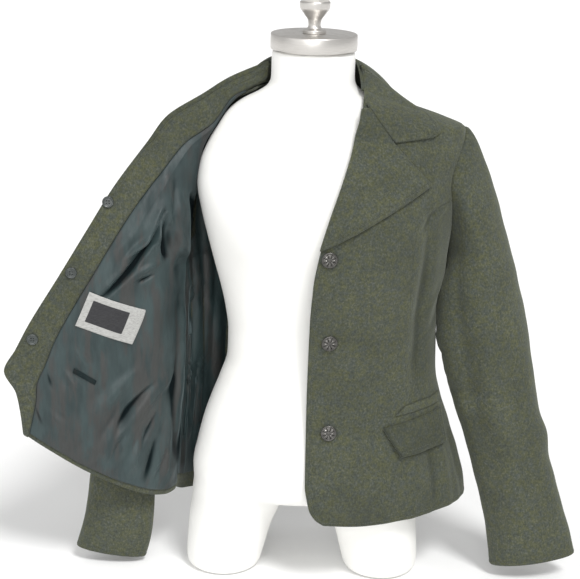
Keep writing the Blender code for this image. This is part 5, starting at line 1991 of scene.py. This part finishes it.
@dataclass
class Buttons:
    """Metal buttons on both fronts and their flat backing buttons."""

    metal: RosetteButton = field(default_factory=RosetteButton)
    backing: HoleButton = field(default_factory=HoleButton)

    def build(self, shop: Workshop) -> None:
        """Make every button where it is sewn on."""
        for number, place in enumerate(LEFT_BUTTONS, 1):
            turn = LEFT.turn_at(place.x, place.height)
            base = LEFT_CLOTH.lifted(turn, place.height, CLOTH / 2 + LAY)
            axis = LEFT_CLOTH.normal(turn, place.height)
            name = f"left_button_{number}"
            self.metal.make(shop, name, base, axis, "antique_metal", f"button_left_{number}")
        for number, place in enumerate(RIGHT_BUTTONS, 1):
            share, row = OPEN.place(place.x, place.height)
            base = INSIDE.lifted(share, row, CLOTH * 1.5 + 2 * LAY)
            axis = INSIDE.normal(share, row)
            self.backing.make(shop, f"flat_button_{number}", base, axis, "dark_button",
                              f"backing_button_{number}")
            share = share - EDGE_INSET / OPEN.width(row)
            base = OUTSIDE.lifted(share, row, CLOTH / 2 + LAY)
            axis = OUTSIDE.normal(share, row)
            self.metal.make(shop, f"right_button_{number}", base, axis, "antique_metal",
                            f"button_right_{number}")


# ---- stitching
@dataclass
class Stitching:
    """Rows of machine stitches, repeated along seam lines by a node tree.

    Attributes:
        pitch: Distance from stitch to stitch.
        length: Length of a stitch.
        width: Thickness of its thread.
    """

    pitch: float = .0036
    length: float = .0029
    width: float = .00085

    def tree(self) -> bpy.types.NodeTree:
        """Node tree that lays one stitch at every pitch along its mesh's edges."""
        tree = bpy.data.node_groups.new("stitches", "GeometryNodeTree")
        sockets = (("Seams", "INPUT", "NodeSocketGeometry"), ("Pitch", "INPUT", "NodeSocketFloat"),
                   ("Length", "INPUT", "NodeSocketFloat"), ("Width", "INPUT", "NodeSocketFloat"),
                   ("Thread", "INPUT", "NodeSocketMaterial"), ("Seed", "INPUT", "NodeSocketInt"),
                   ("Stitches", "OUTPUT", "NodeSocketGeometry"))
        for name, way, kind in sockets:
            tree.interface.new_socket(name, in_out=way, socket_type=kind)
        nodes = Nodes(tree)
        start = nodes.node("NodeGroupInput").outputs
        curve = nodes.node("GeometryNodeMeshToCurve", {"Mesh": start["Seams"]})
        even = nodes.node("GeometryNodeResampleCurve", {"Curve": curve.outputs["Curve"],
                                                        "Length": start["Pitch"]}, mode="LENGTH")
        bead = nodes.node("GeometryNodeMeshUVSphere", {"Segments": 6, "Rings": 4, "Radius": .5})
        tangent = nodes.node("GeometryNodeInputTangent").outputs[0]
        turn = nodes.node("FunctionNodeAlignRotationToVector", {"Vector": tangent}, axis="Z")
        chance = nodes.node("FunctionNodeRandomValue", {2: .9, 3: 1.08, "Seed": start["Seed"]},
                            data_type="FLOAT")
        long = nodes.node("ShaderNodeMath", {0: start["Length"], 1: chance.outputs[1]},
                          operation="MULTIPLY")
        size = nodes.node("ShaderNodeCombineXYZ", {"X": start["Width"], "Y": start["Width"],
                                                   "Z": long.outputs[0]})
        laid = nodes.node("GeometryNodeInstanceOnPoints", {
            "Points": even.outputs["Curve"], "Instance": bead.outputs["Mesh"],
            "Rotation": turn.outputs["Rotation"], "Scale": size.outputs["Vector"]})
        geometry = laid.outputs["Instances"]
        for kind, more in (("GeometryNodeRealizeInstances", {}),
                           ("GeometryNodeSetShadeSmooth", {}),
                           ("GeometryNodeSetMaterial", {"Material": start["Thread"]})):
            geometry = nodes.node(kind, {"Geometry": geometry, **more}).outputs["Geometry"]
        nodes.node("NodeGroupOutput", {"Stitches": geometry})
        return tree

    def sew(self, shop: Workshop, tree: bpy.types.NodeTree, name: str, lines: Sequence[Array],
            seed: int) -> bpy.types.Object:
        """Make the stitches along some lines as one plain mesh.

        Args:
            shop: Places the piece.
            tree: The node tree of the stitches.
            name: Name of the piece.
            lines: Points of each row of stitches, on the cloth's face.
            seed: Seed of the stitches' small unevenness.

        Returns:
            The piece.
        """
        points, edges = [], []
        for line in lines:
            first = len(points)
            points += (line + shop.offset).tolist()
            edges += [(i, i + 1) for i in range(first, len(points) - 1)]
        mesh = bpy.data.meshes.new(name + "_lines")
        mesh.from_pydata(points, edges, [])
        rough = linked(name + "_lines", mesh)
        modifier = rough.modifiers.new("stitches", "NODES")
        modifier.node_group = tree
        values = {"Pitch": self.pitch, "Length": self.length, "Width": self.width,
                  "Thread": shop.materials["loden_thread"], "Seed": seed}
        for item in tree.interface.items_tree:
            if item.name in values:
                modifier[item.identifier] = values[item.name]
        rough.update_tag()
        return shop.placed(linked(name, settled(rough)))


# ---- stage
@dataclass
class Studio:
    """Pale floor, soft lights and the camera.

    Attributes:
        eye: Place of the camera in the garment's own frame.
        pitch: How far it looks down, in degrees.
        roll: How far it is turned about its view, in degrees.
        lens: Focal length in widths of the picture.
    """

    eye: Triple = (-.023637, -2.4, 1.106)
    pitch: float = 15.919
    roll: float = -1.5544
    lens: float = 1756.84 / 580

    def build(self, shop: Workshop) -> None:
        """Make the floor, the lights and the camera."""
        self.floor()
        self.light("key", (.8, -1.6, 2.3), 2.0, 16.0)
        self.light("fill", (-1.6, -1.7, 1.2), .45, 60.0)
        self.light("front", (-.15, -2.4, .85), 1.05, 30.0)
        world = bpy.data.worlds.new("studio")
        world.use_nodes = True
        background = world.node_tree.nodes["Background"]
        background.inputs["Color"].default_value = (1.0, 1.0, 1.0, 1.0)
        background.inputs["Strength"].default_value = .58
        bpy.context.scene.world = world
        bpy.context.scene.view_settings.view_transform = "Standard"
        self.camera(shop)

    def floor(self) -> None:
        """Wide pale floor."""
        half = 16.0
        mesh = bpy.data.meshes.new("floor")
        corners = [(-half, -half, 0), (half, -half, 0), (half, half, 0), (-half, half, 0)]
        mesh.from_pydata(corners, [], [(0, 1, 2, 3)])
        shader = Shader("floor")
        shader.set(Base_Color=(.93, .93, .925), Roughness=.9, Specular_IOR_Level=.1)
        mesh.materials.append(shader.material)
        linked("floor", mesh)

    @staticmethod
    def light(name: str, place: Triple, strength: float,
              spread: float) -> None:
        """Soft far light that shines from a place towards the jacket."""
        data = bpy.data.lights.new(name, "SUN")
        data.energy = strength
        data.angle = math.radians(spread)
        lamp = linked(name, data)
        lamp.rotation_euler = (-Vector(place)).to_track_quat("-Z", "Y").to_euler()

    def camera(self, shop: Workshop) -> None:
        """Camera in front of the jacket, a little above it."""
        pitch, roll = math.radians(self.pitch), math.radians(self.roll)
        ahead = Vector((0.0, math.cos(pitch), -math.sin(pitch)))
        above = Vector((0.0, math.sin(pitch), math.cos(pitch)))
        right = Vector((1.0, 0.0, 0.0))
        axis_x = right * math.cos(roll) - above * math.sin(roll)
        axis_y = right * math.sin(roll) + above * math.cos(roll)
        turn = Matrix((axis_x, axis_y, -ahead)).transposed().to_4x4()
        data = bpy.data.cameras.new("front")
        data.sensor_fit = "HORIZONTAL"
        data.sensor_width = 36.0
        data.lens = 36.0 * self.lens
        camera = linked("front", data)
        place = Vector(self.eye) + Vector(shop.offset)
        camera.matrix_world = Matrix.Translation(place) @ turn
        bpy.context.scene.camera = camera


def main() -> None:
    """Build the jacket, the form and the studio."""
    logging.basicConfig(level=logging.INFO, format="%(name)s: %(message)s")
    shop = Workshop()
    closed, opened, sleeves, collar = Closed(), Opened(), Sleeves(), Collar()
    for part in (closed, opened, sleeves, collar, Buttons(), DressForm()):
        part.build(shop)
    stitching = Stitching()
    tree = stitching.tree()
    shells = {name: shell for part in (closed, opened, sleeves, collar)
              for name, shell in part.shells.items()}
    rows = {
        "stitches_closed_front": (("front_left", 1), ("lapel_left", 2), ("flap_left", 0),
                                  ("flap_left", 1), ("flap_left", 2)),
        "stitches_hem": (("front_left", 2), ("side_front_left", 2), ("back_left", 2),
                         ("back_right", 2)),
        "stitches_opened_front": (("facing_right", 1), ("front_right", 1), ("front_right", 2),
                                  ("side_front_right", 2), ("collar_right_end", 1),
                                  ("flap_right", 0), ("flap_right", 1), ("flap_right", 2)),
        "stitches_collar": (("collar", 1),),
        "stitches_cuffs": tuple((name, 3) for name in sleeves.shells),
    }
    for seed, (name, edges) in enumerate(rows.items(), 1):
        lines = [shells[piece].seam_line(edge) for piece, edge in edges]
        stitching.sew(shop, tree, name, lines, seed)
    Studio().build(shop)


if __name__ == "__main__":
    main()
